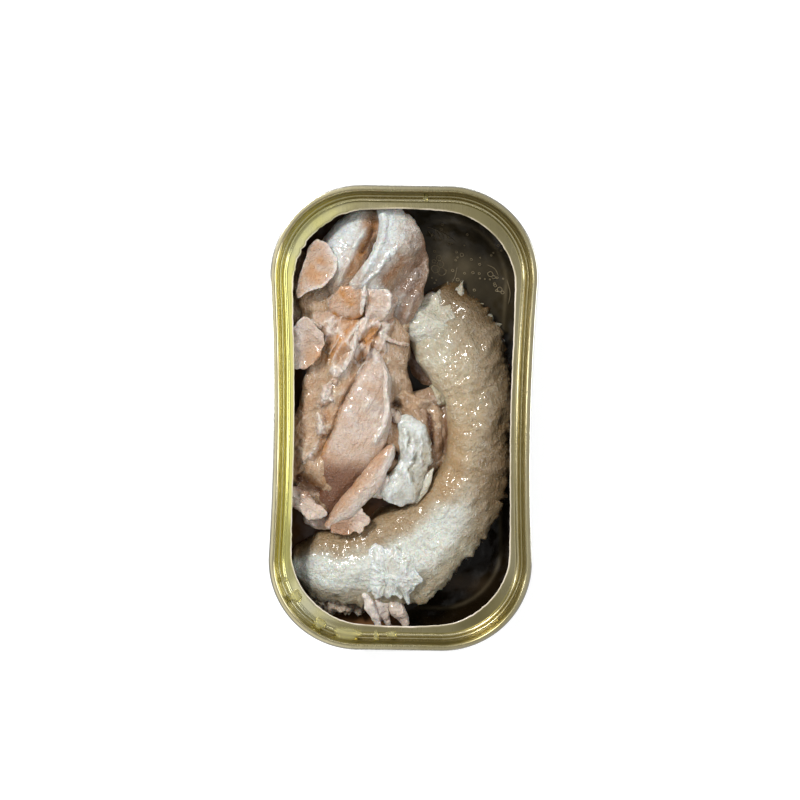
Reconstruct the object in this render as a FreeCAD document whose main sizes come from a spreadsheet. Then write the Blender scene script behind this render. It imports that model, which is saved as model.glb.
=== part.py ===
"""An opened quarter-club fish tin: drawn can body, seamed lid ring with its panel torn out, and salmon in jelly.

The frame is +Z up, +Y along the tin, +X across it, with the origin at the middle of the tin's base. Units are mm.
"""

import FreeCAD, Part

import math
import os

import Sketcher

Vector = FreeCAD.Vector

# The driving dimensions, each an alias in the sheet "Dims".
TIN = {
    "can_length": 105.0,  # over the seam
    "can_width": 60.0,  # over the seam, at the corners
    "can_height": 28.0,
    "corner_radius": 20.5,  # of the seam's outer line, in plan
    "waist": 0.9,  # how far each long side bows in at its middle
    "body_sheet": 0.25,  # gauge of the drawn body
    "lid_sheet": 0.25,  # gauge of the lid
    "seam_thickness": 1.5,
    "seam_height": 2.9,
    "seam_round": 0.55,  # radius of the seam's two top edges
    "seam_lip": 0.8,  # from the seam's outer face to the body's outer face
    "hook_gap": 0.7,  # from the seam's top to the top of the body wall inside it
    "countersink": 3.7,  # from the seam's top to the bottom of the groove
    "groove_width": 0.7,
    "bead_width": 1.0,
    "bead_rise": 0.75,  # from the groove's floor to the bead's top
    "panel_rise": 0.4,  # from the groove's floor to the torn panel's top
    "panel_reach": 9.5,  # from the seam's outer face to where the panel is cut back
    "margin_end": 5.0,  # from the seam's outer face to the torn edge, at the ends
    "margin_side": 5.2,  # and at the sides
    "opening_length": "=can_length - 2 * margin_end",
    "opening_width": "=can_width - 2 * margin_side",
    "opening_radius": "=corner_radius - margin_end / 2",
    "opening_waist": 0.5,
    "base_radius": 2.0,  # where the wall turns into the base, outside
    "foot_width": 2.4,  # flat ring that the tin stands on
    "base_recess": 0.8,  # how far the middle of the base is pushed up
    "jelly_level": 9.0,
}

# The room inside the tin for which the food below is laid out: half width, half length, floor and ceiling.
LAID_OUT_FOR = (28.95, 51.45, 1.05, 24.05)

# Shares of a slice's size: how the two added slices at each end of a piece close it with a rounded end.
END_SLICES = ((0.55, 0.82), (0.9, 0.42))  # (how far beyond the end, in half widths, and the slice's size)
SLICE_POINTS = 12
SLICE_STEP = 2.6  # mm between slices
LUMP_LENGTH = 9.0  # mm from one lump to the next along a piece
POLE_SHARE = 1.04  # the poles of a slice stand this far out of the curve that they draw
SMALLEST_CRUMB = 0.5  # mm3: what a cut leaves under this is eaten


class Piece:
    """One piece of fish: slices stacked along a path, each a rounded slab lying across it.

    width, thickness and top are its largest sizes and its highest point, in mm. Each stop on the path is (x, y, share
    of the width, drop below top). lean is the rise of the slab across its width, to the left of the way along, and
    cup is how far its two edges turn up. square is the slab's exponent: 2 is an ellipse, and more is boxier. flesh is
    the height of the lumps in its surface.
    """

    def __init__(self, name, width, thickness, top, path, lean=0.0, cup=0.0, square=2.4, flesh=0.2):
        self.name = name
        self.sizes = {"width": width, "thickness": thickness, "top": top}
        self.path = path
        self.lean = lean
        self.cup = cup
        self.square = square
        self.flesh = flesh


# The fish, uppermost first: a piece gives way to those above it in this list.
FISH = [
    Piece("leaf_flake", 7.8, 1.5, 23.2, [(-17.9, 39.4, 0.5, 1.0), (-19.3, 35.6, 1.0, 0.2), (-20.8, 31.4, 1.0, 0.0),
                                         (-23.0, 27.4, 0.5, 1.0)], lean=-0.25, cup=0.6),
    Piece("curled_flake", 8.4, 1.8, 23.0, [(-21.8, 21.6, 0.6, 0.6), (-22.0, 17.0, 1.0, 0.0), (-22.8, 11.4, 0.8, 1.6)],
          lean=-0.2, cup=0.8),
    Piece("fat_patch_left", 7.0, 3.6, 22.8, [(-13.0, 28.4, 0.9, 0.6), (-12.9, 25.0, 1.0, 0.0),
                                             (-12.8, 21.6, 0.7, 0.8)], square=3.0),
    Piece("fat_patch_right", 6.6, 3.0, 23.2, [(-6.2, 28.4, 0.8, 0.8), (-5.9, 25.8, 1.0, 0.0),
                                              (-6.1, 23.0, 0.9, 0.8)], square=3.0),
    Piece("rolled_edge", 4.4, 3.6, 22.6, [(-3.4, -7.2, 0.75, 1.2), (-6.4, -13.0, 1.0, 0.2), (-11.0, -18.9, 1.0, 0.0),
                                          (-16.0, -24.2, 0.75, 1.4)], lean=0.2, flesh=0.15),
    Piece("pink_flake", 6.2, 2.6, 22.2, [(-25.0, -17.6, 0.9, 1.0), (-22.2, -19.9, 1.0, 0.0), (-18.6, -22.6, 0.6, 1.0)],
          lean=0.15),
    Piece("chipped_flake", 5.2, 1.4, 20.8, [(-16.0, -26.2, 0.8, 0.6), (-12.5, -25.9, 1.0, 0.0),
                                            (-9.0, -24.2, 0.8, 0.0)], lean=0.25, flesh=0.12),
    Piece("torn_skin", 11.4, 1.3, 22.4, [(-1.6, -30.6, 0.8, 1.0), (-1.4, -36.2, 1.0, 0.0), (-0.6, -42.4, 0.7, 2.2)],
          lean=0.1, cup=-1.2),
    Piece("white_sliver", 1.9, 1.0, 18.6, [(7.2, -13.2, 0.8, 0.6), (5.8, -16.0, 1.0, 0.0), (4.6, -18.6, 0.7, 0.4)],
          flesh=0.05),
    Piece("fold_left", 6.4, 4.0, 21.8, [(-18.6, 23.2, 0.7, 1.2), (-15.2, 19.6, 1.0, 0.0), (-13.0, 14.6, 0.7, 0.8)]),
    Piece("fold_right", 5.0, 4.0, 22.0, [(-7.6, 21.2, 0.8, 0.6), (-7.9, 17.6, 1.0, 0.0), (-8.8, 13.4, 0.7, 1.0)]),
    Piece("upper_lobe_left", 10.8, 23.0, 22.6, [(-8.8, 47.0, 0.6, 1.0), (-11.4, 42.2, 0.95, 0.0),
                                                (-14.6, 36.2, 1.0, 0.2), (-15.8, 30.0, 0.85, 2.0)], lean=0.1, flesh=0.3),
    Piece("upper_lobe_right", 12.4, 23.0, 23.4, [(-2.6, 47.0, 0.6, 1.0), (-2.0, 41.4, 0.95, 0.0),
                                                 (-2.2, 34.6, 1.0, 0.4), (-4.4, 26.4, 0.85, 2.6)], lean=-0.1,
          flesh=0.3),
    Piece("folded_middle", 15.0, 21.0, 20.6, [(-11.6, 30.0, 0.85, 1.0), (-10.6, 23.4, 1.0, 0.0),
                                              (-10.4, 16.8, 0.85, 0.6)], flesh=0.35),
    Piece("main_fillet", 13.6, 22.0, 21.8, [(-7.8, 17.0, 0.7, 1.4), (-8.8, 8.6, 0.85, 0.0), (-10.6, 0.6, 1.0, 0.4),
                                            (-12.0, -8.0, 1.0, 1.6), (-13.8, -15.4, 0.8, 4.0),
                                            (-15.8, -21.4, 0.5, 6.2)], lean=-0.05, flesh=0.25),
    Piece("side_fillet", 10.8, 22.0, 20.2, [(-16.2, 15.6, 0.7, 0.4), (-18.2, 7.6, 0.85, 0.0), (-20.2, 0.0, 0.95, 0.6),
                                            (-22.0, -7.6, 1.0, 1.8), (-23.0, -15.4, 0.85, 4.4)], flesh=0.45),
    Piece("grey_flake", 8.8, 18.0, 18.8, [(-16.2, 28.6, 0.9, 0.0), (-20.6, 26.0, 1.0, 0.4), (-25.4, 22.6, 0.8, 1.6)]),
    Piece("middle_flake", 5.8, 17.0, 17.8, [(-2.6, 19.6, 0.9, 0.0), (-1.6, 13.6, 1.0, 0.4), (-0.6, 7.6, 1.0, 1.2),
                                            (0.4, 2.4, 0.7, 2.6)], flesh=0.3),
    Piece("centre_chunk", 9.0, 19.0, 20.2, [(3.4, -1.6, 0.6, 1.6), (3.0, -7.0, 0.9, 0.0), (1.8, -12.6, 1.0, 0.4),
                                            (-0.6, -18.0, 0.8, 3.0)], lean=-0.1, flesh=0.4),
    Piece("tip_pink", 2.6, 3.0, 19.4, [(-7.2, -41.6, 0.7, 0.6), (-6.2, -45.4, 1.0, 0.0), (-4.9, -48.6, 0.6, 0.0)],
          flesh=0.1),
    Piece("tip_tan", 3.4, 5.0, 18.0, [(-3.6, -41.8, 0.9, 0.0), (-3.0, -45.8, 1.0, 0.6), (-2.5, -49.0, 0.7, 1.4)],
          flesh=0.1),
    Piece("tip_pale", 2.8, 4.0, 17.6, [(-0.4, -42.4, 0.9, 0.0), (0.5, -46.2, 1.0, 0.2), (1.5, -49.0, 0.5, 0.8)],
          flesh=0.1),
    Piece("belly_strip", 15.0, 21.0, 20.8, [(3.6, 25.2, 0.9, 6.0), (12.6, 18.2, 1.1, 3.2), (17.8, 5.0, 0.98, 1.4),
                                            (17.8, -7.0, 0.9, 1.0), (14.2, -20.0, 1.02, 0.6),
                                            (4.6, -31.0, 1.16, 0.2), (-8.6, -36.6, 1.06, 0.6),
                                            (-22.0, -36.8, 0.82, 3.0)], lean=-0.2, flesh=0.5),
    Piece("brown_flake", 4.6, 15.0, 15.4, [(10.4, 2.4, 0.8, 1.0), (10.0, -4.2, 1.0, 0.0), (8.8, -10.4, 0.8, 1.4)]),
    Piece("brown_fold", 7.4, 15.0, 16.0, [(9.0, 4.0, 0.7, 1.2), (4.8, 2.6, 1.0, 0.0), (1.0, -1.4, 0.8, 0.6)]),
    Piece("inner_nub", 2.8, 12.0, 13.4, [(7.0, 7.0, 0.8, 0.6), (8.2, 5.8, 1.0, 0.1), (9.2, 4.6, 0.9, 0.0)],
          flesh=0.1),
    Piece("pale_nub", 3.6, 14.0, 17.0, [(-21.4, -23.4, 0.9, 0.0), (-19.9, -24.5, 1.0, 0.2), (-18.4, -25.4, 0.8, 0.8)],
          flesh=0.1),
    Piece("sunken_lump", 6.4, 10.0, 10.8, [(2.2, 15.8, 0.9, 0.0), (5.0, 11.2, 1.0, 0.4), (7.8, 7.6, 0.7, 1.2)]),
    Piece("wall_scrap", 4.4, 15.0, 15.6, [(-25.2, 37.6, 0.8, 0.8), (-26.2, 32.4, 1.0, 0.0), (-26.4, 27.4, 0.9, 1.0)]),
    Piece("tail_scrap", 5.0, 13.0, 13.8, [(-19.8, -42.0, 0.8, 0.0), (-15.4, -44.6, 1.0, 0.0), (-11.0, -45.2, 0.7, 1.6)]),
]


def fill_sheet(doc):
    """The spreadsheet of driving dimensions: the tin's, and each piece of fish's width, thickness and top."""
    sheet = doc.addObject("Spreadsheet::Sheet", "Dims")
    cells = dict(TIN)
    for piece in FISH:
        for size, value in piece.sizes.items():
            cells[f"{piece.name}_{size}"] = value
    for row, (alias, value) in enumerate(cells.items(), 1):
        sheet.set(f"A{row}", alias)
        sheet.set(f"B{row}", str(value))
        sheet.setAlias(f"B{row}", alias)
    doc.recompute()
    return sheet


def origin_plane(body, role):
    """A body's own origin plane, such as XY_Plane."""
    return next(feature for feature in body.Origin.OriginFeatures if feature.Role == role)


def new_sketch(body, name, role, height=None):
    """A sketch on one of the body's origin planes, lifted along its normal by the expression height."""
    sketch = body.newObject("Sketcher::SketchObject", name)
    sketch.AttachmentSupport = [(origin_plane(body, role), "")]
    sketch.MapMode = "FlatFace"
    if height:
        sketch.setExpression("AttachmentOffset.Base.z", height)
    return sketch


def name_constraint(sketch, constraint, name, expression):
    """Adds a dimension to the sketch and binds it to the sheet."""
    sketch.renameConstraint(sketch.addConstraint(constraint), name)
    sketch.setExpression(f"Constraints.{name}", expression)


def waisted_outline(sketch, sheet, length, width, radius, waist, inset, split=False):
    """A closed outline with round corners and long sides that bow in, moved inwards by the expression inset.

    length, width, radius and waist are aliases. Corner and side arcs meet on a tangent: with the side's middle at
    width / 2 - waist and the corner's centre at height b, the two radii together are (waist^2 + b^2) / (2 waist).
    split breaks the far end's line at its middle, where a section that is swept along the outline can start.
    """
    half_length = sheet.get(length) / 2
    half_width = sheet.get(width) / 2
    corner = sheet.get(radius)
    bow = sheet.get(waist)
    centre_x = half_width - corner
    centre_y = half_length - corner
    both_radii = (bow**2 + centre_y**2) / (2 * bow)
    side = both_radii - corner
    meet = math.atan2(centre_y, both_radii - bow)
    quarter = math.pi / 2

    def arc(x, y, size, start, end):
        return Part.ArcOfCircle(Part.Circle(Vector(x, y, 0), Vector(0, 0, 1), size), start, end)

    def line(from_x, to_x, y):
        return Part.LineSegment(Vector(from_x, y, 0), Vector(to_x, y, 0))

    side_centre = half_width - bow + side
    geometry = [
        line(0.0 if split else -centre_x, centre_x, half_length),
        arc(centre_x, centre_y, corner, -meet, quarter),
        arc(side_centre, 0, side, math.pi - meet, math.pi + meet),
        arc(centre_x, -centre_y, corner, -quarter, meet),
        line(centre_x, -centre_x, -half_length),
        arc(-centre_x, -centre_y, corner, math.pi - meet, 3 * quarter),
        arc(-side_centre, 0, side, -meet, meet),
        arc(-centre_x, centre_y, corner, quarter, math.pi + meet),
    ]
    if split:
        geometry.append(line(-centre_x, 0.0, half_length))
    sketch.addGeometry(geometry, False)
    top, corner_1, side_1, corner_2, bottom, corner_3, side_2, corner_4 = range(8)
    last = 8 if split else top
    start, end, centre = 1, 2, 3
    joins = [
        (top, end, corner_1, end), (corner_1, start, side_1, start), (side_1, end, corner_2, end),
        (corner_2, start, bottom, start), (bottom, end, corner_3, end), (corner_3, start, side_2, start),
        (side_2, end, corner_4, end), (corner_4, start, last, start),
    ]
    for one, one_end, other, other_end in joins:
        sketch.addConstraint(Sketcher.Constraint("Tangent", one, one_end, other, other_end))
    x_axis, y_axis, root_point = -1, -2, 1
    if split:
        sketch.addConstraint(Sketcher.Constraint("Coincident", last, end, top, start))
        sketch.addConstraint(Sketcher.Constraint("PointOnObject", top, start, y_axis))
        sketch.addConstraint(Sketcher.Constraint("Horizontal", top))
    for other in (corner_2, corner_3, corner_4):
        sketch.addConstraint(Sketcher.Constraint("Equal", corner_1, other))
    sketch.addConstraint(Sketcher.Constraint("Equal", side_1, side_2))
    sketch.addConstraint(Sketcher.Constraint("Symmetric", corner_1, centre, corner_4, centre, y_axis))
    sketch.addConstraint(Sketcher.Constraint("Symmetric", corner_1, centre, corner_2, centre, x_axis))
    sketch.addConstraint(Sketcher.Constraint("Symmetric", corner_1, centre, corner_3, centre, x_axis, root_point))

    b = f"(Dims.{length} / 2 - Dims.{radius})"
    radii = f"(Dims.{waist} ^ 2 + {b} ^ 2) / (2 * Dims.{waist})"
    name_constraint(sketch, Sketcher.Constraint("Radius", corner_1, corner), "corner", f"Dims.{radius} - ({inset})")
    name_constraint(sketch, Sketcher.Constraint("Radius", side_1, side), "side",
                    f"{radii} - Dims.{radius} + ({inset})")
    name_constraint(sketch, Sketcher.Constraint("DistanceX", x_axis, root_point, corner_1, centre, centre_x),
                    "centre_x", f"Dims.{width} / 2 - Dims.{radius}")
    name_constraint(sketch, Sketcher.Constraint("DistanceY", x_axis, root_point, corner_1, centre, centre_y),
                    "centre_y", f"Dims.{length} / 2 - Dims.{radius}")


def tin_outline(body, sheet, name, inset, height):
    """A sketch of the tin's outline in plan, inset from the seam's outer face, at a height."""
    sketch = new_sketch(body, name, "XY_Plane", height)
    waisted_outline(sketch, sheet, "can_length", "can_width", "corner_radius", "waist", inset)
    return sketch


def pad(body, sketch, length):
    """A pad of the sketch along +Z by the expression length."""
    feature = body.newObject("PartDesign::Pad", f"{sketch.Name}_pad")
    feature.Profile = sketch
    feature.setExpression("Length", length)
    return feature


def pocket(body, sketch, depth, upwards=False):
    """A pocket of the sketch by the expression depth, cut downwards unless upwards is set."""
    feature = body.newObject("PartDesign::Pocket", f"{sketch.Name}_pocket")
    feature.Profile = sketch
    feature.Reversed = upwards
    feature.setExpression("Length", depth)
    return feature


def round_edges(body, doc, base, height, low_inset, radius, name):
    """A fillet on the base feature's edges that lie at a height, on the tin's outline at an inset."""
    doc.recompute()
    sheet = doc.getObject("Dims")
    reach = sheet.can_length / 2 - low_inset
    edges = []
    for number, edge in enumerate(base.Shape.Edges, 1):
        box = edge.BoundBox
        flat = abs(box.ZMax - height) < 1e-4 and abs(box.ZMin - height) < 1e-4
        on_outline = max(abs(box.YMax), abs(box.YMin)) < reach + 1e-3
        widest = max(abs(box.XMax), abs(box.XMin)) > sheet.can_width / 2 - low_inset - sheet.waist - 1e-3
        longest = max(abs(box.YMax), abs(box.YMin)) > reach - 1e-3
        if flat and on_outline and (widest or longest):
            edges.append(f"Edge{number}")
    fillet = body.newObject("PartDesign::Fillet", name)
    fillet.Base = (base, edges)
    fillet.setExpression("Radius", radius)
    return fillet


def make_can_body(doc, sheet):
    """The drawn body: a wall that ends inside the seam, a rounded foot and a base pushed up in the middle."""
    body = doc.addObject("PartDesign::Body", "can_body")
    outer = tin_outline(body, sheet, "BodyOutside", "Dims.seam_lip", "0")
    pad(body, outer, "Dims.can_height - Dims.hook_gap")
    inner_inset = "Dims.seam_lip + Dims.body_sheet"
    inside = tin_outline(body, sheet, "BodyInside", inner_inset, "Dims.can_height - Dims.hook_gap")
    hollow = pocket(body, inside, "Dims.can_height - Dims.hook_gap - Dims.body_sheet")
    inner_round = round_edges(body, doc, hollow, sheet.body_sheet, sheet.seam_lip + sheet.body_sheet,
                              "Dims.base_radius - Dims.body_sheet", "BodyFloor")
    round_edges(body, doc, inner_round, 0.0, sheet.seam_lip, "Dims.base_radius", "BodyFoot")
    panel_inset = "Dims.seam_lip + Dims.base_radius + Dims.foot_width"
    panel = tin_outline(body, sheet, "BasePanel", panel_inset, "Dims.body_sheet")
    pad(body, panel, "Dims.base_recess")
    recess = tin_outline(body, sheet, "BaseRecess", f"{panel_inset} + Dims.body_sheet", "0")
    pocket(body, recess, "Dims.base_recess", upwards=True)
    return body


def make_cavity(doc, sheet):
    """The room inside the tin, from its floor to the underside of the lid's torn panel. It isn't a part."""
    body = doc.addObject("PartDesign::Body", "Cavity")
    ceiling = "Dims.can_height - Dims.countersink + Dims.panel_rise - Dims.lid_sheet - Dims.panel_rise"
    inner_inset = "Dims.seam_lip + Dims.body_sheet"
    outline = tin_outline(body, sheet, "CavityOutline", inner_inset, "Dims.body_sheet")
    block = pad(body, outline, f"{ceiling} - Dims.body_sheet")
    round_edges(body, doc, block, sheet.body_sheet, sheet.seam_lip + sheet.body_sheet,
                "Dims.base_radius - Dims.body_sheet", "CavityFloor")
    panel_inset = "Dims.seam_lip + Dims.base_radius + Dims.foot_width"
    panel = tin_outline(body, sheet, "CavityPanel", panel_inset, "Dims.body_sheet")
    pocket(body, panel, "Dims.base_recess", upwards=True)
    return body


def ring_corners():
    """The lid ring's section as (inset, height) expressions, over the top inwards and back underneath.

    It goes over the seam, down the chuck wall, along the groove and over the bead to the panel, then back one sheet
    lower, and leaves a slot in which the body wall stands. A corner marked True starts a quarter round.
    """
    top = "Dims.can_height"
    floor = f"{top} - Dims.countersink"
    groove = "Dims.seam_thickness"
    bead = f"{groove} + Dims.groove_width"
    panel = f"{bead} + Dims.bead_width"
    slot = "Dims.seam_lip + Dims.body_sheet"
    skirt = f"{top} - Dims.seam_height"
    return [
        ("0", skirt, False),
        ("0", f"{top} - Dims.seam_round", True),
        ("Dims.seam_round", top, False),
        (f"{groove} - Dims.seam_round", top, True),
        (groove, f"{top} - Dims.seam_round", False),
        (f"{groove} + 0.15", f"{floor} + 0.25", False),
        (f"{groove} + 0.4", floor, False),
        (f"{bead}", f"{floor} + 0.1", False),
        (f"{bead} + 0.3 * Dims.bead_width", f"{floor} + Dims.bead_rise", False),
        (f"{bead} + 0.7 * Dims.bead_width", f"{floor} + Dims.bead_rise", False),
        (panel, f"{floor} + Dims.panel_rise", False),
        ("Dims.panel_reach", f"{floor} + Dims.panel_rise", False),
        ("Dims.panel_reach", f"{floor} + Dims.panel_rise - Dims.lid_sheet", False),
        (f"{panel} - 0.1", f"{floor} + Dims.panel_rise - Dims.lid_sheet", False),
        (f"{bead} + 0.7 * Dims.bead_width - 0.1", f"{floor} + Dims.bead_rise - Dims.lid_sheet", False),
        (f"{bead} + 0.3 * Dims.bead_width + 0.1", f"{floor} + Dims.bead_rise - Dims.lid_sheet", False),
        (f"{bead} + 0.1", f"{floor} - Dims.lid_sheet + 0.05", False),
        (f"{groove} + 0.2", f"{floor} - Dims.lid_sheet", False),
        (slot, f"{floor} + 0.25", False),
        (slot, f"{top} - Dims.hook_gap", False),
        ("Dims.seam_lip", f"{top} - Dims.hook_gap", False),
        ("Dims.seam_lip", skirt, False),
    ]


def ring_profile(body, name):
    """The lid ring's section, on the plane across the far end of the tin, with every corner bound to the sheet."""
    sketch = new_sketch(body, name, "YZ_Plane")
    corners = ring_corners()
    points = []
    for inset, height, _ in corners:
        out = sketch.evalExpression(f"Dims.can_length / 2 - ({inset})")
        up = sketch.evalExpression(height)
        points.append(Vector(float(out), float(up), 0))
    for here, (start, following) in enumerate(zip(points, points[1:] + points[:1])):
        if corners[here][2]:
            low, high = sorted((start, following), key=lambda point: point.y)
            size = high.y - low.y
            centre = Vector(high.x, low.y, 0)
            begins = 0.0 if low.x > high.x else math.pi / 2
            circle = Part.Circle(centre, Vector(0, 0, 1), size)
            sketch.addGeometry(Part.ArcOfCircle(circle, begins, begins + math.pi / 2), False)
        else:
            sketch.addGeometry(Part.LineSegment(start, following), False)
    count = len(points)
    for here in range(count):
        sketch.addConstraint(Sketcher.Constraint("Coincident", here, 2, (here + 1) % count, 1))
    for here, (inset, height, quarter) in enumerate(corners):
        out = f"Dims.can_length / 2 - ({inset})"
        name_constraint(sketch, Sketcher.Constraint("DistanceX", -1, 1, here, 1, points[here].x), f"out_{here}", out)
        name_constraint(sketch, Sketcher.Constraint("DistanceY", -1, 1, here, 1, points[here].y), f"up_{here}", height)
        if quarter:
            # The middle of the quarter round stands straight under its higher end, which rules out a hollow one.
            higher = 1 if points[here].y > points[(here + 1) % count].y else 2
            sketch.addConstraint(Sketcher.Constraint("Vertical", here, 3, here, higher))
    return sketch


def make_lid_ring(doc, sheet):
    """The lid's ring: seam, chuck wall, groove and bead swept round the tin, and the panel torn out of it."""
    body = doc.addObject("PartDesign::Body", "lid_ring")
    spine = new_sketch(body, "SeamLine", "XY_Plane", "Dims.can_height")
    waisted_outline(spine, sheet, "can_length", "can_width", "corner_radius", "waist", "0", split=True)
    profile = ring_profile(body, "RingProfile")
    doc.recompute()
    sweep = body.newObject("PartDesign::AdditivePipe", "RingSweep")
    sweep.Profile = profile
    sweep.Spine = spine
    sweep.Mode = "Standard"
    opening = new_sketch(body, "Opening", "XY_Plane", "Dims.can_height")
    waisted_outline(opening, sheet, "opening_length", "opening_width", "opening_radius", "opening_waist", "0")
    pocket(body, opening, "Dims.countersink + Dims.lid_sheet + 1")
    return body


def room(doc):
    """Half width, half length, floor and ceiling of the room that the food is stretched to fill."""
    sheet = doc.getObject("Dims")
    inset = sheet.seam_lip + sheet.body_sheet
    floor = sheet.body_sheet + sheet.base_recess
    ceiling = sheet.can_height - sheet.countersink - sheet.lid_sheet
    return (sheet.can_width / 2 - inset, sheet.can_length / 2 - inset, floor, ceiling)


def fitted(doc):
    """A function that takes a point laid out in the reference room to the room of the tin in the sheet."""
    half_width, half_length, floor, ceiling = room(doc)
    wide, long, low, high = LAID_OUT_FOR
    rise = (ceiling - floor) / (high - low)

    def place(point):
        return Vector(point.x * half_width / wide, point.y * half_length / long, floor + (point.z - low) * rise)

    return place


def lump(run, number):
    """How far a pole stands out, from -1 to 1: two waves along the piece, shifted from each pole to the next."""
    turn = 2 * math.pi * run / LUMP_LENGTH
    return (math.sin(turn + 1.9 * number) + 0.6 * math.sin(1.75 * turn + 3.1 * number + 1)) / 1.6


def slice_points(middle, along, half_width, thickness, top, piece, place, run):
    """The poles of one closed slice: a slab section across the way along, its highest part at the height top.

    With a the half width and t the angle round it, the section is x = a cos(t)^(2/square) and a cap of height
    c sin(t)^(2/square) above and below straight flanks, then lifted by lean x and by cup (x/a)^2. Each pole
    stands out by a lump of its own.
    """
    across = Vector(-along.y, along.x, 0)
    cap = min(thickness / 2, 0.8 * half_width)
    power = 2 / piece.square
    points = []
    for number in range(SLICE_POINTS):
        angle = 2 * math.pi * (number + 0.5) / SLICE_POINTS
        cos = math.cos(angle)
        sin = math.sin(angle)
        out = piece.flesh * lump(run, number)
        x = POLE_SHARE * half_width * math.copysign(abs(cos) ** power, cos) + out * cos
        rise = POLE_SHARE * cap * math.copysign(abs(sin) ** power, sin) + out * sin
        z = top - thickness / 2 + math.copysign(thickness / 2 - cap, sin) + rise
        z += piece.lean * x + piece.cup * (x / half_width) ** 2
        points.append(place(middle + across * x + Vector(0, 0, z)))
    return points


def skin(rows):
    """The solid whose side is the cubic surface over rows of poles, closed round each row, with flat ends."""
    around = len(rows[0])
    along = len(rows)
    side = Part.BSplineSurface()
    side.buildFromPolesMultsKnots(
        [[row[pole] for row in rows] for pole in range(around)],
        [1] * (around + 1),
        [4] + [1] * (along - 4) + [4],
        list(range(around + 1)),
        list(range(along - 2)),
        True,
        False,
        3,
        3,
    )
    wall = side.toShape()
    last = along - 3
    ends = [Part.Face(Part.Wire([side.vIso(at).toShape()])) for at in (0, last)]
    shell = Part.makeShell([wall, *ends])
    shell.sewShape()
    solid = Part.makeSolid(Part.Shell(shell.Faces))
    if solid.Volume < 0:
        solid.reverse()
    return solid


def fish_solid(doc, piece):
    """A piece of fish, whole: slices along a smooth path through its stops, closed by smaller slices at its ends."""
    sheet = doc.getObject("Dims")
    place = fitted(doc)
    half = sheet.get(f"{piece.name}_width") / 2
    thickness = sheet.get(f"{piece.name}_thickness")
    top = sheet.get(f"{piece.name}_top")
    stops = [Vector(x, y, 0) for x, y, _, _ in piece.path]
    shares = [Vector(share, drop, 0) for _, _, share, drop in piece.path]
    run = [0.0]
    for before, after in zip(stops, stops[1:]):
        run.append(run[-1] + (after - before).Length)
    way = Part.BSplineCurve()
    way.interpolate(Points=stops, Parameters=run)
    sizes = Part.BSplineCurve()
    sizes.interpolate(Points=shares, Parameters=run)

    def row(at, beyond, share):
        """The slice at a place on the path, or beyond an end of it, at a share of the full size there."""
        along = Vector(way.tangent(at)[0])
        size = sizes.value(at)
        reach = min(half * size.x, 3.0)
        middle = way.value(at) + along * (beyond * reach)
        drop = size.y + 0.25 * (1 - share) * min(thickness, 2 * reach)
        thinner = thickness * (1 - 0.3 * (1 - share))
        return slice_points(middle, along, half * size.x * share, thinner, top - drop, piece, place, at)

    count = max(4, round(run[-1] / SLICE_STEP) + 1)
    rows = [row(0.0, -beyond, share) for beyond, share in reversed(END_SLICES)]
    rows += [row(run[-1] * number / (count - 1), 0.0, 1.0) for number in range(count)]
    rows += [row(run[-1], beyond, share) for beyond, share in END_SLICES]
    return skin(rows)


def main_solid(shape):
    """The largest solid of a shape."""
    return max(shape.Solids, key=lambda solid: solid.Volume)


def make_fish(doc, cavity):
    """Every piece of fish, kept inside the tin and cut round the pieces above it, as features of its own."""
    features = []
    done = []
    for piece in FISH:
        shape = fish_solid(doc, piece).common(cavity.Shape)
        near = [other for other in done if other.BoundBox.intersect(shape.BoundBox)]
        if near:
            shape = shape.cut(near)
        shape = main_solid(shape)
        done.append(shape)
        feature = doc.addObject("Part::Feature", piece.name)
        feature.Label = piece.name
        feature.Shape = shape
        features.append(feature)
    return features


def make_jelly(doc, sheet, fish):
    """The jelly round the fish: the bottom of the room inside the tin up to its level, less the fish in it."""
    block = doc.addObject("PartDesign::Body", "JellyBlock")
    inner_inset = "Dims.seam_lip + Dims.body_sheet"
    outline = tin_outline(block, sheet, "JellyOutline", inner_inset, "Dims.body_sheet")
    filled = pad(block, outline, "Dims.jelly_level - Dims.body_sheet")
    round_edges(block, doc, filled, sheet.body_sheet, sheet.seam_lip + sheet.body_sheet,
                "Dims.base_radius - Dims.body_sheet", "JellyFloor")
    panel_inset = "Dims.seam_lip + Dims.base_radius + Dims.foot_width"
    panel = tin_outline(block, sheet, "JellyPanel", panel_inset, "Dims.body_sheet")
    pocket(block, panel, "Dims.base_recess", upwards=True)
    sunk = [feature for feature in fish if feature.Shape.BoundBox.ZMin < sheet.jelly_level]
    everything = doc.addObject("Part::Compound", "SunkFish")
    everything.Links = sunk
    jelly = doc.addObject("Part::Cut", "Jelly")
    jelly.Base = block
    jelly.Tool = everything
    jelly.Label = "jelly"
    return jelly


def export(doc, named):
    """Checks every object of the document, then writes each named shape to parts/NAME.step."""
    doc.recompute()
    for item in doc.Objects:
        if "Invalid" in item.State or "Error" in item.State:
            raise RuntimeError(f"{item.Name} is {item.State}")
        if hasattr(item, "Shape") and item.TypeId != "App::Origin":
            if item.Shape.isNull() and not item.TypeId.startswith("App::"):
                raise RuntimeError(f"{item.Name} has no shape")
            if not item.Shape.isNull() and not item.Shape.isValid():
                raise RuntimeError(f"{item.Name} has an invalid shape")
    os.makedirs("parts", exist_ok=True)
    for name, shape in named:
        shape.exportStep(f"parts/{name}.step")


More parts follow.
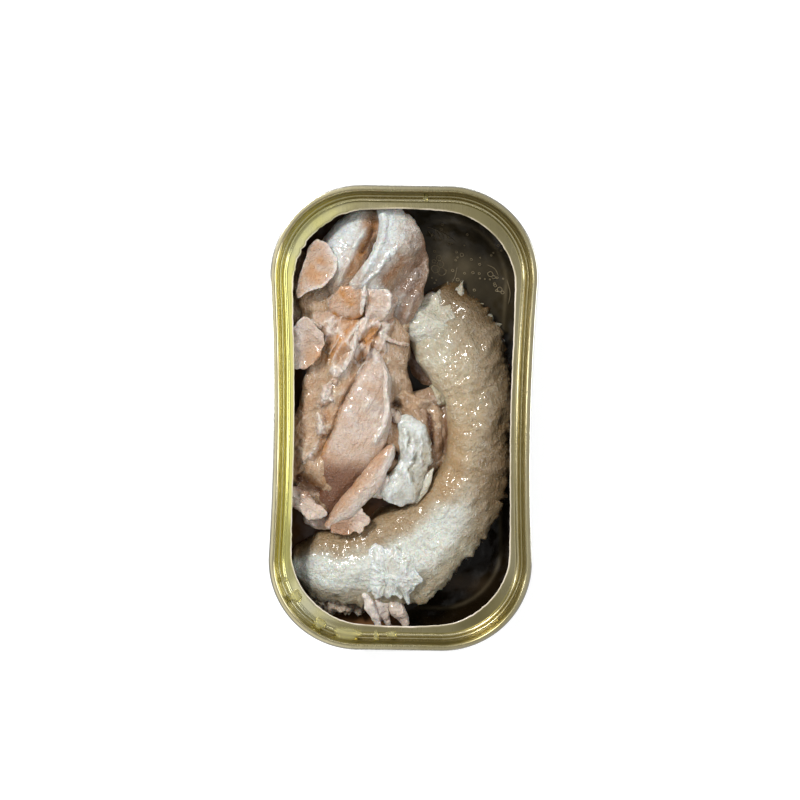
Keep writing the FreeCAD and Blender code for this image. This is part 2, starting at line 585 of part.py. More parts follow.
def main():
    doc = FreeCAD.newDocument("salmon_tin")
    sheet = fill_sheet(doc)
    can_body = make_can_body(doc, sheet)
    lid_ring = make_lid_ring(doc, sheet)
    cavity = make_cavity(doc, sheet)
    doc.recompute()
    fish = make_fish(doc, cavity)
    jelly = make_jelly(doc, sheet, fish)
    doc.recompute()
    named = [(item.Label, item.Shape) for item in [can_body, lid_ring, *fish]]
    named.append((jelly.Label, main_solid(jelly.Shape)))
    export(doc, named)


main()
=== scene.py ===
"""An opened oblong tin of salmon: a silver body, a gold rim with the lid torn out, dark jelly and pale fish.

Shapes are worked out in millimetres in the part's own frame (+Z up, +Y along the tin) and written in metres.
"""

import itertools
import math

import bpy
import mathutils
import numpy as np
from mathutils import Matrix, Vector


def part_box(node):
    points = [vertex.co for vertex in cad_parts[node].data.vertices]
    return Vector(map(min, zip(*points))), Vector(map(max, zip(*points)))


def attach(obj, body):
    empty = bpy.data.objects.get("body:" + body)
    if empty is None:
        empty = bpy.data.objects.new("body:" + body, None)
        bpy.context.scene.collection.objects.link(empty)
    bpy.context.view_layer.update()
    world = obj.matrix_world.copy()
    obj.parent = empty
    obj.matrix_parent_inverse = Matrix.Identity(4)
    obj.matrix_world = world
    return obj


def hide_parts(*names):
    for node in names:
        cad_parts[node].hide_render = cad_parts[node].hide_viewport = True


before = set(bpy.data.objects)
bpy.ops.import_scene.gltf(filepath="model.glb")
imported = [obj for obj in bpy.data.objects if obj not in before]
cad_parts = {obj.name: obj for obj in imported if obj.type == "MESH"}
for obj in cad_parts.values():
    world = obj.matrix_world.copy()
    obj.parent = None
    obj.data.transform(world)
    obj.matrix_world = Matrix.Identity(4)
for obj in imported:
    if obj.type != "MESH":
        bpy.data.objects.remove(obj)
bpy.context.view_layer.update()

MM = 0.001

# The tin, in mm: overall sizes come from the lid ring's box.
ring_low, ring_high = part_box("lid_ring")
HALF_LENGTH = ring_high[1] / MM
HALF_WIDTH = round(ring_high[0] / MM)
RIM = ring_high[2] / MM
CORNER = 20.5
WAIST = 0.9
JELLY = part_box("jelly")[1][2] / MM

# The places of the four painted tones in a vertex's colour. On the fish, white is pale flesh and painted
# highlight, and deep is brown flesh and painted shade.
WHITE, WARM, DEEP, WET = range(4)


# ---------------------------------------------------------------- noise and curves


def lattice(cells, seed):
    """A random number from -1 to 1 for each whole-number cell, by mixing its three numbers and the seed."""
    x, y, z = (cells[..., axis].astype(np.uint64) for axis in range(3))
    mixed = x * np.uint64(73856093) ^ y * np.uint64(19349663) ^ z * np.uint64(83492791)
    mixed = mixed ^ np.uint64(seed * 2654435761)
    mixed = (mixed ^ (mixed >> np.uint64(13))) * np.uint64(1274126177)
    mixed = (mixed ^ (mixed >> np.uint64(16))) & np.uint64(0xFFFFFF)
    return mixed.astype(float) / float(0x7FFFFF) - 1


def noise(points, size, seed):
    """Smooth noise from -1 to 1: lattice values spaced by size, blended along each axis by t^2 (3 - 2t)."""
    scaled = points / size + 512.0
    cells = np.floor(scaled)
    t = scaled - cells
    cells = cells.astype(np.int64)
    t = t * t * (3 - 2 * t)
    total = 0.0
    for corner in np.ndindex(2, 2, 2):
        weight = np.prod(np.where(np.array(corner) == 1, t, 1 - t), axis=-1)
        total = total + weight * lattice(cells + np.array(corner), seed)
    return total


def fractal(points, size, seed, octaves=3, fall=0.5):
    """A sum of noises, each half the size of the last and fall times as strong."""
    steps = range(octaves)
    return sum(fall**step * noise(points, size / 2**step, seed + 17 * step) for step in steps)


def creases(points, size, seed, octaves=4, fall=0.5):
    """Sharp folds: 1 - 2.4 |fractal|, which is 1 along the folds' lines and falls away from them."""
    return 1 - 2.4 * np.abs(fractal(points, size, seed, octaves, fall))


def rise(value, low, high):
    """0 below low, 1 above high, and t^2 (3 - 2t) between."""
    t = np.clip((value - low) / (high - low), 0, 1)
    return t * t * (3 - 2 * t)


def bell(value, width):
    """1 where the value is 0, falling off both ways as e^-(value / width)^2."""
    return np.exp(-((value / width) ** 2))


def spot(x, y, at, size):
    """1 at a place in plan, falling off as e^-((x - at_x) / size_x)^2 - ((y - at_y) / size_y)^2."""
    return np.exp(-(((x - at[0]) / size[0]) ** 2) - ((y - at[1]) / size[1]) ** 2)


def at_height(plan, height):
    """Points over a plan (x, y) at a height, or at a height each."""
    return np.concatenate([plan, np.broadcast_to(height, plan.shape[:-1])[..., None]], -1)


def catmull(stops, at):
    """Values on the Catmull-Rom curve through the rows of stops, at the parameters at (0 to rows - 1)."""
    stops = np.asarray(stops, float)
    padded = np.vstack([2 * stops[0] - stops[1], stops, 2 * stops[-1] - stops[-2]])
    first = np.clip(np.floor(at).astype(int), 0, len(stops) - 2)
    t = (at - first)[:, None]
    a, b, c, d = (padded[first + offset] for offset in range(4))
    return 0.5 * (2 * b + (c - a) * t + (2 * a - 5 * b + 4 * c - d) * t**2 + (3 * b - a - 3 * c + d) * t**3)


def evenly(stops, step):
    """Rows on the curve through the stops, spaced evenly by step mm in plan, and their distances along it."""
    fine = catmull(stops, np.linspace(0, len(stops) - 1, 60 * len(stops)))
    run = np.concatenate([[0], np.cumsum(np.hypot(*np.diff(fine[:, :2], axis=0).T))])
    count = max(6, int(run[-1] / step) + 1)
    at = np.linspace(0, run[-1], count)
    return np.stack([np.interp(at, run, column) for column in fine.T], axis=1), at


def off_line(xy, line):
    """Each point's distance from a polyline in plan, and its nearest point's share of the line's length."""
    line = np.asarray(line, float)
    lengths = np.hypot(*np.diff(line, axis=0).T)
    before = np.concatenate([[0], np.cumsum(lengths)])
    best = np.full(xy.shape[:-1], 1e9)
    share = np.zeros(xy.shape[:-1])
    for number, (start, stop) in enumerate(zip(line[:-1], line[1:])):
        way = stop - start
        t = np.clip(((xy - start) @ way) / max(way @ way, 1e-9), 0, 1)
        gap = np.hypot(*np.moveaxis(xy - start - t[..., None] * way, -1, 0))
        nearer = gap < best
        best = np.where(nearer, gap, best)
        share = np.where(nearer, (before[number] + t * lengths[number]) / before[-1], share)
    return best, share


# ---------------------------------------------------------------- meshes


def face_normals_out(points):
    """Unit normals of a closed grid of points (rows x around), outwards for rows that run on past a loop."""
    along = np.gradient(points, axis=0)
    around = np.roll(points, -1, axis=1) - np.roll(points, 1, axis=1)
    normals = np.cross(around, along)
    size = np.linalg.norm(normals, axis=-1, keepdims=True)
    normals = normals / np.maximum(size, 1e-9)
    centre = points.mean(axis=1, keepdims=True)
    outward = np.sign(np.sum(normals * (points - centre)))
    return normals * (outward if outward else 1.0)


def add_mesh(name, vertices, quads, triangles, look, node=None, tones=None, uv=None, smooth=True, slot=None):
    """A mesh object at the origin from points in mm, riding on the tin's body and standing for a plain solid.

    tones is a colour for each vertex or one for all, and uv a pair for each. slot is not used.
    """
    mesh = bpy.data.meshes.new(name)
    vertices = np.asarray(vertices, float)
    quads = np.asarray(quads, np.int32).reshape(-1, 4)
    triangles = np.asarray(triangles, np.int32).reshape(-1, 3)
    mesh.vertices.add(len(vertices))
    mesh.vertices.foreach_set("co", (vertices * MM).astype(np.float32).ravel())
    corners = np.concatenate([quads.ravel(), triangles.ravel()]).astype(np.int32)
    mesh.loops.add(len(corners))
    mesh.loops.foreach_set("vertex_index", corners)
    starts = np.concatenate([np.arange(len(quads)) * 4, 4 * len(quads) + np.arange(len(triangles)) * 3])
    mesh.polygons.add(len(starts))
    mesh.polygons.foreach_set("loop_start", starts.astype(np.int32))
    mesh.update(calc_edges=True)
    mesh.validate()
    if smooth:
        mesh.polygons.foreach_set("use_smooth", np.ones(len(mesh.polygons), bool))
    if tones is not None:
        layer = mesh.color_attributes.new("tones", "FLOAT_COLOR", "POINT")
        tones = np.clip(np.broadcast_to(tones, (len(vertices), 4)), 0, 1)
        layer.data.foreach_set("color", tones.astype(np.float32).ravel())
    if uv is not None:
        layer = mesh.uv_layers.new(name="along")
        layer.data.foreach_set("uv", np.asarray(uv, np.float32)[corners].ravel())
    mesh.materials.append(look.material)
    piece = bpy.data.objects.new(name, mesh)
    bpy.context.scene.collection.objects.link(piece)
    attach(piece, "root")
    if node:
        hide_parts(node)


def row_quads(index, after):
    """Quads between each row of point numbers and the row after it, each row closed on itself."""
    return np.stack([index, np.roll(index, -1, 1), np.roll(after, -1, 1), after], axis=-1).reshape(-1, 4)


def inside_out(vertices, quads):
    """Whether the quads point inwards: the sum of their pyramids to the origin is then negative."""
    a, b, c, d = (vertices[quads[:, k]] for k in range(4))
    return np.sum(a * np.cross(b, c)) + np.sum(a * np.cross(c, d)) < 0


def closed_grid(points):
    """Quads of a grid closed around each row, with a fan of triangles to a middle point at each end."""
    rows, around = points.shape[:2]
    index = np.arange(rows * around).reshape(rows, around)
    quads = row_quads(index[:-1], index[1:])
    vertices = np.vstack([points.reshape(-1, 3), points[0].mean(0), points[-1].mean(0)])
    first, last = rows * around, rows * around + 1
    fan_a = np.stack([index[0], np.full(around, first), np.roll(index[0], -1)], axis=-1)
    fan_b = np.stack([np.roll(index[-1], -1), np.full(around, last), index[-1]], axis=-1)
    triangles = np.vstack([fan_a, fan_b])
    if inside_out(vertices, quads):
        return vertices, quads[:, ::-1], triangles[:, ::-1]
    return vertices, quads, triangles


def ring_grid(points):
    """Quads of a grid closed both ways, such as a closed profile carried round the tin, facing outwards."""
    rows, around = points.shape[:2]
    index = np.arange(rows * around).reshape(rows, around)
    quads = row_quads(index, np.roll(index, -1, 0))
    vertices = points.reshape(-1, 3)
    return vertices, quads[:, ::-1] if inside_out(vertices, quads) else quads


# ---------------------------------------------------------------- finishes


def paint(red, green, blue):
    """A colour from the values that a paint chart gives, 0 to 255, as linear light."""
    chart = np.array([red, green, blue]) / 255
    linear = np.where(chart <= 0.04045, chart / 12.92, ((chart + 0.055) / 1.055) ** 2.4)
    return (*linear.tolist(), 1.0)


class Wire:
    """A node's output, with which sums are written as on numbers."""

    def __init__(self, tree, socket):
        self.tree = tree
        self.socket = socket

    def math(self, operation, *values, clamp=False):
        """A Math node on the values, which are numbers or wires."""
        node = self.tree.nodes.new("ShaderNodeMath")
        node.operation = operation
        node.use_clamp = clamp
        for place, value in enumerate(values):
            if isinstance(value, Wire):
                self.tree.links.new(value.socket, node.inputs[place])
            else:
                node.inputs[place].default_value = value
        return Wire(self.tree, node.outputs[0])

    def __add__(self, other):
        return self.math("ADD", self, other)

    def __radd__(self, other):
        return self.math("ADD", other, self)

    def __sub__(self, other):
        return self.math("SUBTRACT", self, other)

    def __rsub__(self, other):
        return self.math("SUBTRACT", other, self)

    def __mul__(self, other):
        return self.math("MULTIPLY", self, other)

    def __rmul__(self, other):
        return self.math("MULTIPLY", other, self)

    def between(self, low, high):
        """0 below low and 1 above high."""
        return self.math("MULTIPLY", self - low, 1 / (high - low), clamp=True)


class Nodes:
    """A node tree, and the one method that makes any node in it."""

    def __init__(self, tree):
        self.tree = tree

    def node(self, kind, settings=None, out=0, **sockets):
        """A node of a kind: its settings first, then its sockets by name, each a number, a colour or a wire.

        Where several sockets share a name, as a Mix node's do, a socket is called i and its number.
        """
        node = self.tree.nodes.new(kind)
        for setting, value in (settings or {}).items():
            setattr(node, setting, value)
        for name, value in sockets.items():
            socket = node.inputs[int(name[1:])] if name[1:].isdigit() else node.inputs[name]
            if isinstance(value, Wire):
                self.tree.links.new(value.socket, socket)
            else:
                socket.default_value = value
        return Wire(self.tree, node.outputs[out])


class Finish(Nodes):
    """A material for one of the record's slots, its Principled shader and the nodes that feed it."""

    def __init__(self, name, slot=None, **constants):
        self.slot = slot
        self.material = bpy.data.materials.new(name)
        self.material.use_nodes = True
        super().__init__(self.material.node_tree)
        self.shader = next(node for node in self.tree.nodes if node.type == "BSDF_PRINCIPLED")
        for socket, value in constants.items():
            self.shader.inputs[socket.replace("_", " ")].default_value = value
        self.place = self.node("ShaderNodeTexCoord", out="Object")
        self.uv = self.node("ShaderNodeTexCoord", out="UV")

    def grain(self, size, detail=2.0, at=None, rough=0.5):
        """Noise about 0 to 1 with lumps of a size in mm, or in mm of the UV map if at is the UV."""
        scale = 1 / (size * MM)
        at = at or self.place
        return self.node("ShaderNodeTexNoise", Vector=at, Scale=scale, Detail=detail, Roughness=rough)

    def mix(self, factor, one, other):
        """The colour one where factor is 0 and other where it is 1."""
        return self.node("ShaderNodeMix", {"data_type": "RGBA"}, out=2, i0=factor, i6=one, i7=other)

    def stretch(self, x, y, z, at=None):
        """Coordinates scaled along each axis."""
        return self.node("ShaderNodeMapping", Vector=at or self.place, Scale=(x, y, z))

    def tones(self):
        """The four painted tones of a piece: white, warm, deep and wet."""
        painted = self.node("ShaderNodeAttribute", {"attribute_name": "tones"})
        split = self.node("ShaderNodeSeparateColor", Color=painted)
        wet = painted.socket.node.outputs["Alpha"]
        return [Wire(self.tree, output) for output in (*split.socket.node.outputs, wet)]

    def feed(self, **wires):
        """Links wires to the shader's sockets."""
        for socket, wire in wires.items():
            self.tree.links.new(wire.socket, self.shader.inputs[socket.replace("_", " ")])

    def relief(self, height, depth):
        """A bump of a depth in mm from a height about 0 to 1."""
        self.feed(Normal=self.node("ShaderNodeBump", Height=height, Strength=1.0, Distance=depth * MM))
        return self


def flesh(name, slot, light, pale, plain, warm, deep, fibre=1.0, depth=0.5):
    """Wet cooked fish: plain clouded with pale, painted with light, warm and deep tones, finely fibrous. The
    light tone also gives painted highlights, the deep tone painted shade, and white specks painted glints.
    """
    look = Finish(
        name,
        slot,
        Subsurface_Weight=0.4,
        Subsurface_Radius=(1.0, 0.55, 0.3),
        Subsurface_Scale=0.0012,
        Coat_Roughness=0.06,
        IOR=1.5,
    )
    light, pale, plain, warm, deep = (paint(*colour) for colour in (light, pale, plain, warm, deep))
    white, warmth, shade, wet = look.tones()
    cloud = look.grain(3.2, 3.0)
    threads = look.grain(0.5, 3.0, at=look.stretch(1.0, 0.18, 1.0, look.uv), rough=0.6)
    speck = look.grain(0.55, 2.0)
    fine = look.grain(0.7, 4.0, rough=0.68)
    colour = look.mix(cloud.between(0.35, 0.68), plain, pale)
    colour = look.mix(threads.between(0.45, 0.72) * (0.3 * fibre), colour, light)
    colour = look.mix(threads.between(0.5, 0.25) * (0.16 * fibre), colour, deep)
    colour = look.mix(speck.between(0.6, 0.72) * 0.22, colour, warm)
    colour = look.mix(warmth * (0.65 + cloud * 0.7), colour, warm)
    colour = look.mix(white * (0.55 + fine.between(0.3, 0.7) * 0.45), colour, light)
    colour = look.mix(shade * (0.85 + speck * 0.3), colour, deep)
    # White specks in clusters on the wet parts are painted glints, and fine beads stand over all of it.
    painted_glints = look.grain(0.5, 3.0).between(0.62, 0.72) * wet * look.grain(4.0, 1.0).between(0.42, 0.62)
    colour = look.mix(painted_glints * 0.7, colour, paint(250, 246, 240))
    beads = look.grain(0.5, 2.0).between(0.52, 0.75)
    look.feed(
        Base_Color=colour,
        Roughness=0.3 - wet * 0.14 + speck * 0.1,
        Coat_Weight=0.38 + wet * 0.57,
    )
    return look.relief(fine * 0.75 + threads * (0.45 * fibre) + beads * 0.45, depth)


# ---------------------------------------------------------------- the tin


def tin_line(count):
    """Points and outward directions round the tin's outer line: straight ends, round corners, bowed-in sides.

    A corner arc has its centre at (HALF_WIDTH - CORNER, HALF_LENGTH - CORNER). The side's radius R and CORNER
    together are (w^2 + b^2) / 2w, with w the waist and b the corner centre's height.
    """
    x = HALF_WIDTH - CORNER
    b = HALF_LENGTH - CORNER
    both = (WAIST**2 + b**2) / (2 * WAIST)
    side = both - CORNER
    meet = math.atan2(b, both - WAIST)
    lengths = np.array([x, CORNER * (math.pi / 2 + meet), side * meet])
    run = np.linspace(0, lengths.sum(), count // 4, endpoint=False) + lengths.sum() / (count // 4) / 2
    part = np.searchsorted(np.cumsum(lengths), run)
    within = run - np.concatenate([[0], np.cumsum(lengths)])[part]
    angle = math.pi / 2 - within / CORNER
    turn = math.pi - meet + within / side
    round_out = np.stack([np.cos(angle), np.sin(angle)], 1)
    side_in = np.stack([np.cos(turn), np.sin(turn)], 1)
    parts = [(part == 0)[:, None], (part == 1)[:, None]]
    end = np.stack([within, np.full_like(within, HALF_LENGTH)], 1)
    bow = np.array([HALF_WIDTH - WAIST + side, 0]) + side * side_in
    places = np.select(parts, [end, np.array([x, b]) + CORNER * round_out], bow)
    out = np.select(parts, [np.array([[0.0, 1.0]]), round_out], -side_in)
    quarters = []
    for flip_x, flip_y, step in ((1, 1, 1), (1, -1, -1), (-1, -1, 1), (-1, 1, -1)):
        flip = np.array([flip_x, flip_y])
        quarters.append((places[::step] * flip, out[::step] * flip))
    return tuple(np.concatenate(halves) for halves in zip(*quarters))


def rounded(corners, times=2, closed=True):
    """A profile with its corners cut time after time, a quarter in from each end of every side."""
    line = np.asarray(corners, float)
    for _ in range(times):
        after = np.roll(line, -1, axis=0) if closed else line[1:]
        here = line if closed else line[:-1]
        cut = np.stack([0.75 * here + 0.25 * after, 0.25 * here + 0.75 * after], axis=1).reshape(-1, 2)
        line = cut if closed else np.vstack([line[:1], cut, line[-1:]])
    return line


def carried(profile, line, out, insets=None):
    """A profile of (inset, height) carried round a line: point = place - inset * outward direction."""
    insets = profile[:, :1] if insets is None else insets
    return at_height(line[None] - insets[..., None] * out[None], profile[:, 1:])


def metal(name, slot, colour, second, rough, streak, dark, yellow=(255, 255, 255)):
    """Rolled or lacquered sheet: two tones clouded together, fine scratches, and small dents of grease.

    The painted tones turn it to bare cut metal (white), yellow lacquer as a painted reflection, painted shade in
    the dark colour, and bright silver (wet), which is bare metal and also a painted highlight.
    """
    look = Finish(name, slot, Coat_Roughness=0.08, Coat_Weight=0.25)
    cloud = look.grain(7.0, 3.0)
    scratch = look.grain(0.35, 3.0, at=look.stretch(1.0, 0.05, 1.0))
    shade = look.mix(cloud.between(0.3, 0.7), paint(*colour), paint(*second))
    white, warmth, painted_shade, wet = look.tones()
    shade = look.mix(warmth, shade, paint(*yellow))
    shade = look.mix(painted_shade, shade, paint(*dark))
    shade = look.mix(wet, shade, paint(212, 212, 205))
    shade = look.mix(white, shade, paint(244, 232, 218))
    look.feed(
        Base_Color=shade,
        Roughness=rough + cloud * 0.04 + scratch * streak + painted_shade * 0.15 + white * 0.4,
        Metallic=1.0 - white * 0.95,
    )
    return look.relief(scratch * 0.4 + look.grain(1.6, 2.0) * 0.6, 0.02)


# The dark colour of each metal is its painted shade: the body's inside and the rim's grooves and ends.
silver = metal("silver tin", "silver_tin", (186, 187, 184), (180, 181, 179), 0.2, 0.12, (54, 44, 27))
gold = metal("gold lacquer", "gold_lacquer", (240, 230, 190), (224, 212, 166), 0.12, 0.1, (118, 108, 54),
             (250, 244, 150))


def make_rim():
    """The lid's ring: rolled seam, chuck wall, groove, bead and the strip of panel left round the opening."""
    line, out = tin_line(760)
    # Each corner of the profile is its inset from the outer line and its depth below the seam's top.
    corners = [
        (0.12, 2.9), (0.01, 2.5), (0.01, 0.3), (0.25, 0.02), (0.75, 0.0), (1.25, 0.02), (1.5, 0.35),
        (1.62, 1.6), (1.72, 3.1), (1.85, 3.65), (2.25, 3.7), (2.5, 3.5), (2.62, 3.0), (2.95, 2.92),
        (3.2, 3.1), (3.35, 3.32), (3.9, 3.34), (5.1, 3.3), (5.12, 3.5), (3.9, 3.58), (3.3, 3.56),
        (2.95, 3.2), (2.7, 3.3), (2.55, 3.9), (2.25, 3.94), (1.7, 3.94), (1.2, 3.6), (1.1, 0.75),
        (0.8, 0.75), (0.78, 2.85), (0.45, 2.98),
    ]
    profile = rounded([(inset, RIM - below) for inset, below in corners])
    # The strip's width follows the torn edge: the panel's edge line, ragged by the tear.
    x, y = line.T
    around = at_height(line, 0)
    upper_left = rise(-x, 0, 20) * rise(y, 18, 40)
    tear = 0.05 * fractal(around, 1.1, 5, 3) + upper_left * 0.22 * fractal(around, 1.5, 9, 3)
    corner = rise(np.abs(x), 0, 24) * rise(np.abs(y), 18, 48)
    edge = 4.5 + 0.4 * np.abs(out[:, 1]) + 1.2 * corner - 0.2 * upper_left + tear
    inset = profile[:, 0][:, None] + np.zeros(len(line))[None]
    strip = 3.6
    stretched = strip + (inset - strip) * ((edge - strip) / 1.5)[None]
    inset = np.where(inset > strip, stretched, inset)
    points = carried(profile, line, out, inset)
    # The strip sags a little unevenly where it was torn.
    points[..., 2] += rise(inset, strip, 5.2) * 0.16 * noise(around, 9.0, 3)[None]
    vertices, quads = ring_grid(points)
    tone = np.zeros((*points.shape[:2], 4))
    # The seam's outer face is bare metal. The lacquer gets a painted reflection of yellow light on the left, and
    # painted shade towards the ends.
    left, right = rise(-x, 6, 26)[None], rise(x, 6, 26)[None]
    far, near = rise(y, 30, 51)[None], rise(-y, 30, 51)[None]
    ends = far + near
    tone[..., WET] = rise(0.5 - inset, -0.1, 0.3)
    # A painted highlight of bright silver lies over the groove at the left corners.
    painted_highlight = rise(-x, 11, 21) * rise(np.abs(y), 31, 42) * (0.7 + 0.5 * noise(around, 3.0, 23))
    tone[..., WET] += 0.4 * painted_highlight[None] * rise(inset, 1.5, 1.9)
    # Painted reflection: the lacquer is painted yellower on the left.
    tone[..., WARM] = 0.95 * left * rise(inset, 1.4, 2.6) * (1 - 0.5 * near)
    cut = rise(inset, edge[None] - 0.3, edge[None] - 0.16)
    tone[..., WHITE] = cut * (0.75 + 0.3 * noise(around, 2.5, 19)[None] - 0.3 * far)
    # Painted shade: brown lines in the grooves, and brown painted shade at the ends and on the right, less on
    # the ridges.
    groove = bell(inset - 2.2, 0.24) * (0.6 - 0.5 * left - 0.3 * ends * (1 - left))
    groove = groove + 0.7 * bell(inset - 3.35, 0.12) * (1 - left)
    groove = groove + 0.6 * left * bell(inset - 2.7, 0.13) + 0.4 * bell(inset - 1.6, 0.14)
    shade = (0.5 * far + 0.6 * near + 0.22 * right) * (1 - 0.8 * left) * rise(inset, 0.85, 1.1)
    shade = shade * (1 - 0.7 * bell(inset - 2.95, 0.24) - 0.7 * bell(inset - 2.0, 0.4))
    shade = shade + 0.5 * ends * bell(inset, 0.16)
    tone[..., DEEP] = np.clip(groove + shade, 0, 0.95)
    add_mesh("rim", vertices, quads, [], gold, "lid_ring", tone.reshape(-1, 4))


def make_body():
    """The drawn body: one closed skin, up the outside, over the top in the seam and down to the floor."""
    line, out = tin_line(640)
    wall_top = RIM - 0.75
    under, over = 0.8, 1.05
    outside = [(8.0, under), (5.3, under), (5.15, 0.05), (4.9, 0.0), (2.9, 0.0), (1.5, 0.55), (0.8, 2.0),
               (0.8, 8.0), (0.8, 16.0), (0.8, wall_top)]
    inside = [(1.05, wall_top), (1.05, 12.0), (1.05, 2.1), (1.7, 0.75), (3.0, 0.25), (5.0, 0.25), (5.2, over)]
    profile = rounded([*outside, *inside, (8.0, over)], closed=False)
    points = carried(profile, line, out)
    foot = points[0][:, :2]
    low = [at_height(foot * share, under) for share in (0.02, 0.35, 0.7)]
    high = [at_height(foot * share, over) for share in (0.7, 0.35, 0.02)]
    points = np.concatenate([low, points, high])
    vertices, quads, triangles = closed_grid(points)
    # The inside is painted nearly black, as painted shade.
    tone = np.zeros((*points.shape[:2], 4))
    past_top = np.arange(len(profile)) > np.argmax(profile[:, 1])
    tone[..., DEEP] = np.concatenate([np.zeros(3), past_top, np.ones(3)])[:, None] * 0.97
    tone = np.vstack([tone.reshape(-1, 4), [[0, 0, 0, 0], [0, 0, 1, 0]]])
    add_mesh("body", vertices, quads, triangles, silver, "can_body", tone)


def jelly_finish():
    """Dark clear jelly over the tin's floor: nearly black, olive where the floor shows, with a wet skin. Its
    pale tone is also used for painted reflection and painted highlights, and its shade tone is painted shade.
    """
    look = Finish("dark jelly", "dark_jelly", Coat_Weight=0.1, Coat_Roughness=0.03, IOR=1.34,
                  Specular_IOR_Level=0.35)
    pale, warmth, shade, _ = look.tones()
    cloud = look.grain(5.0, 3.0)
    fine = look.grain(0.8, 3.0)
    colour = look.mix(cloud.between(0.3, 0.7), paint(17, 13, 4), paint(34, 27, 13))
    colour = look.mix(pale * (0.7 + cloud * 0.6), colour, paint(150, 136, 108))
    colour = look.mix(warmth, colour, paint(120, 84, 54))
    colour = look.mix(shade, colour, paint(24, 14, 6))
    look.feed(Base_Color=colour, Roughness=0.12 + fine * 0.12)
    return look.relief(look.grain(3.5, 2.0) * 0.7 + fine * 0.08, 0.25)


jelly_look = jelly_finish()


def make_jelly():
    """The jelly: a slab filling the tin's floor, its skin rippled and turned up at the wall.

    Each ring of its top is the tin's inner line scaled by a share r, at height level + 0.6 r^24 + ripples.
    """
    line, out = tin_line(480)
    wall = line - 1.08 * out
    shares = np.concatenate([np.linspace(0.01, 0.9, 110), 1 - 0.1 * np.linspace(1, 0, 26)[1:] ** 1.5])
    plan = shares[:, None, None] * wall[None]
    x, y = plan[..., 0], plan[..., 1]
    flat = at_height(plan, 0)
    ripple = 0.22 * fractal(flat, 7.0, 21, 3) + 0.05 * noise(flat, 1.6, 31)
    ripple += spot(x, y, (8.5, 43.5), (3.5, 3.0)) * 0.25 * noise(flat, 1.1, 33)
    foot = line - 3.2 * out
    below = [at_height(wall, 2.3), *(at_height(foot * share, 0.3) for share in (1, 0.6, 0.02))]
    points = np.concatenate([at_height(plan, JELLY + ripple + 0.6 * shares[:, None] ** 24), below])
    vertices, quads, triangles = closed_grid(points)
    # The floor's raised panel shows through as a faint line and a paler field inside it; the paler patches at
    # the far right are also a painted reflection of the light above.
    panel = line - 5.6 * out
    gap, _ = off_line(plan, np.vstack([panel, panel[:1]])[::6])
    arc = bell(gap, 0.45) * (0.7 + 0.4 * noise(flat, 3.0, 41))
    cloud = 0.75 + 0.5 * fractal(flat, 4.0, 43, 3)
    upper = spot(x, y, (15, 39), (7.5, 8.0))
    bubbly = spot(x, y, (10, 36), (4.0, 5.0))
    sunken = spot(x, y, (15.5, -40.5), (4.5, 2.2))
    tone = np.zeros((*points.shape[:2], 4))
    top = tone[: len(shares)]
    top[..., WHITE] = arc * (0.32 * rise(y, 5, 30) + 0.45 * rise(-y, 15, 30)) * rise(x, 2, 10)
    pale = 0.08 * upper * cloud + 0.34 * bubbly * cloud + 0.3 * sunken * cloud
    top[..., WHITE] += pale + 0.08 * rise(y, 0, 30)
    top[..., WHITE] += 0.55 * spot(x, y, (11, 43.5), (4.0, 3.0)) * cloud
    top[..., WARM] = 0.3 * sunken * cloud + 0.9 * rise(-x, -3, 3)
    # Painted shade darkens the near right and the far left corner by the wall.
    top[..., DEEP] = rise(-y, 18, 30) * 0.45 * rise(x, 0, 6) + rise(-x, 20, 26) * rise(y, 36, 40) * 0.6
    tone = np.vstack([tone.reshape(-1, 4), np.zeros((2, 4))])
    add_mesh("jelly_body", vertices, quads, triangles, jelly_look, "jelly", tone)
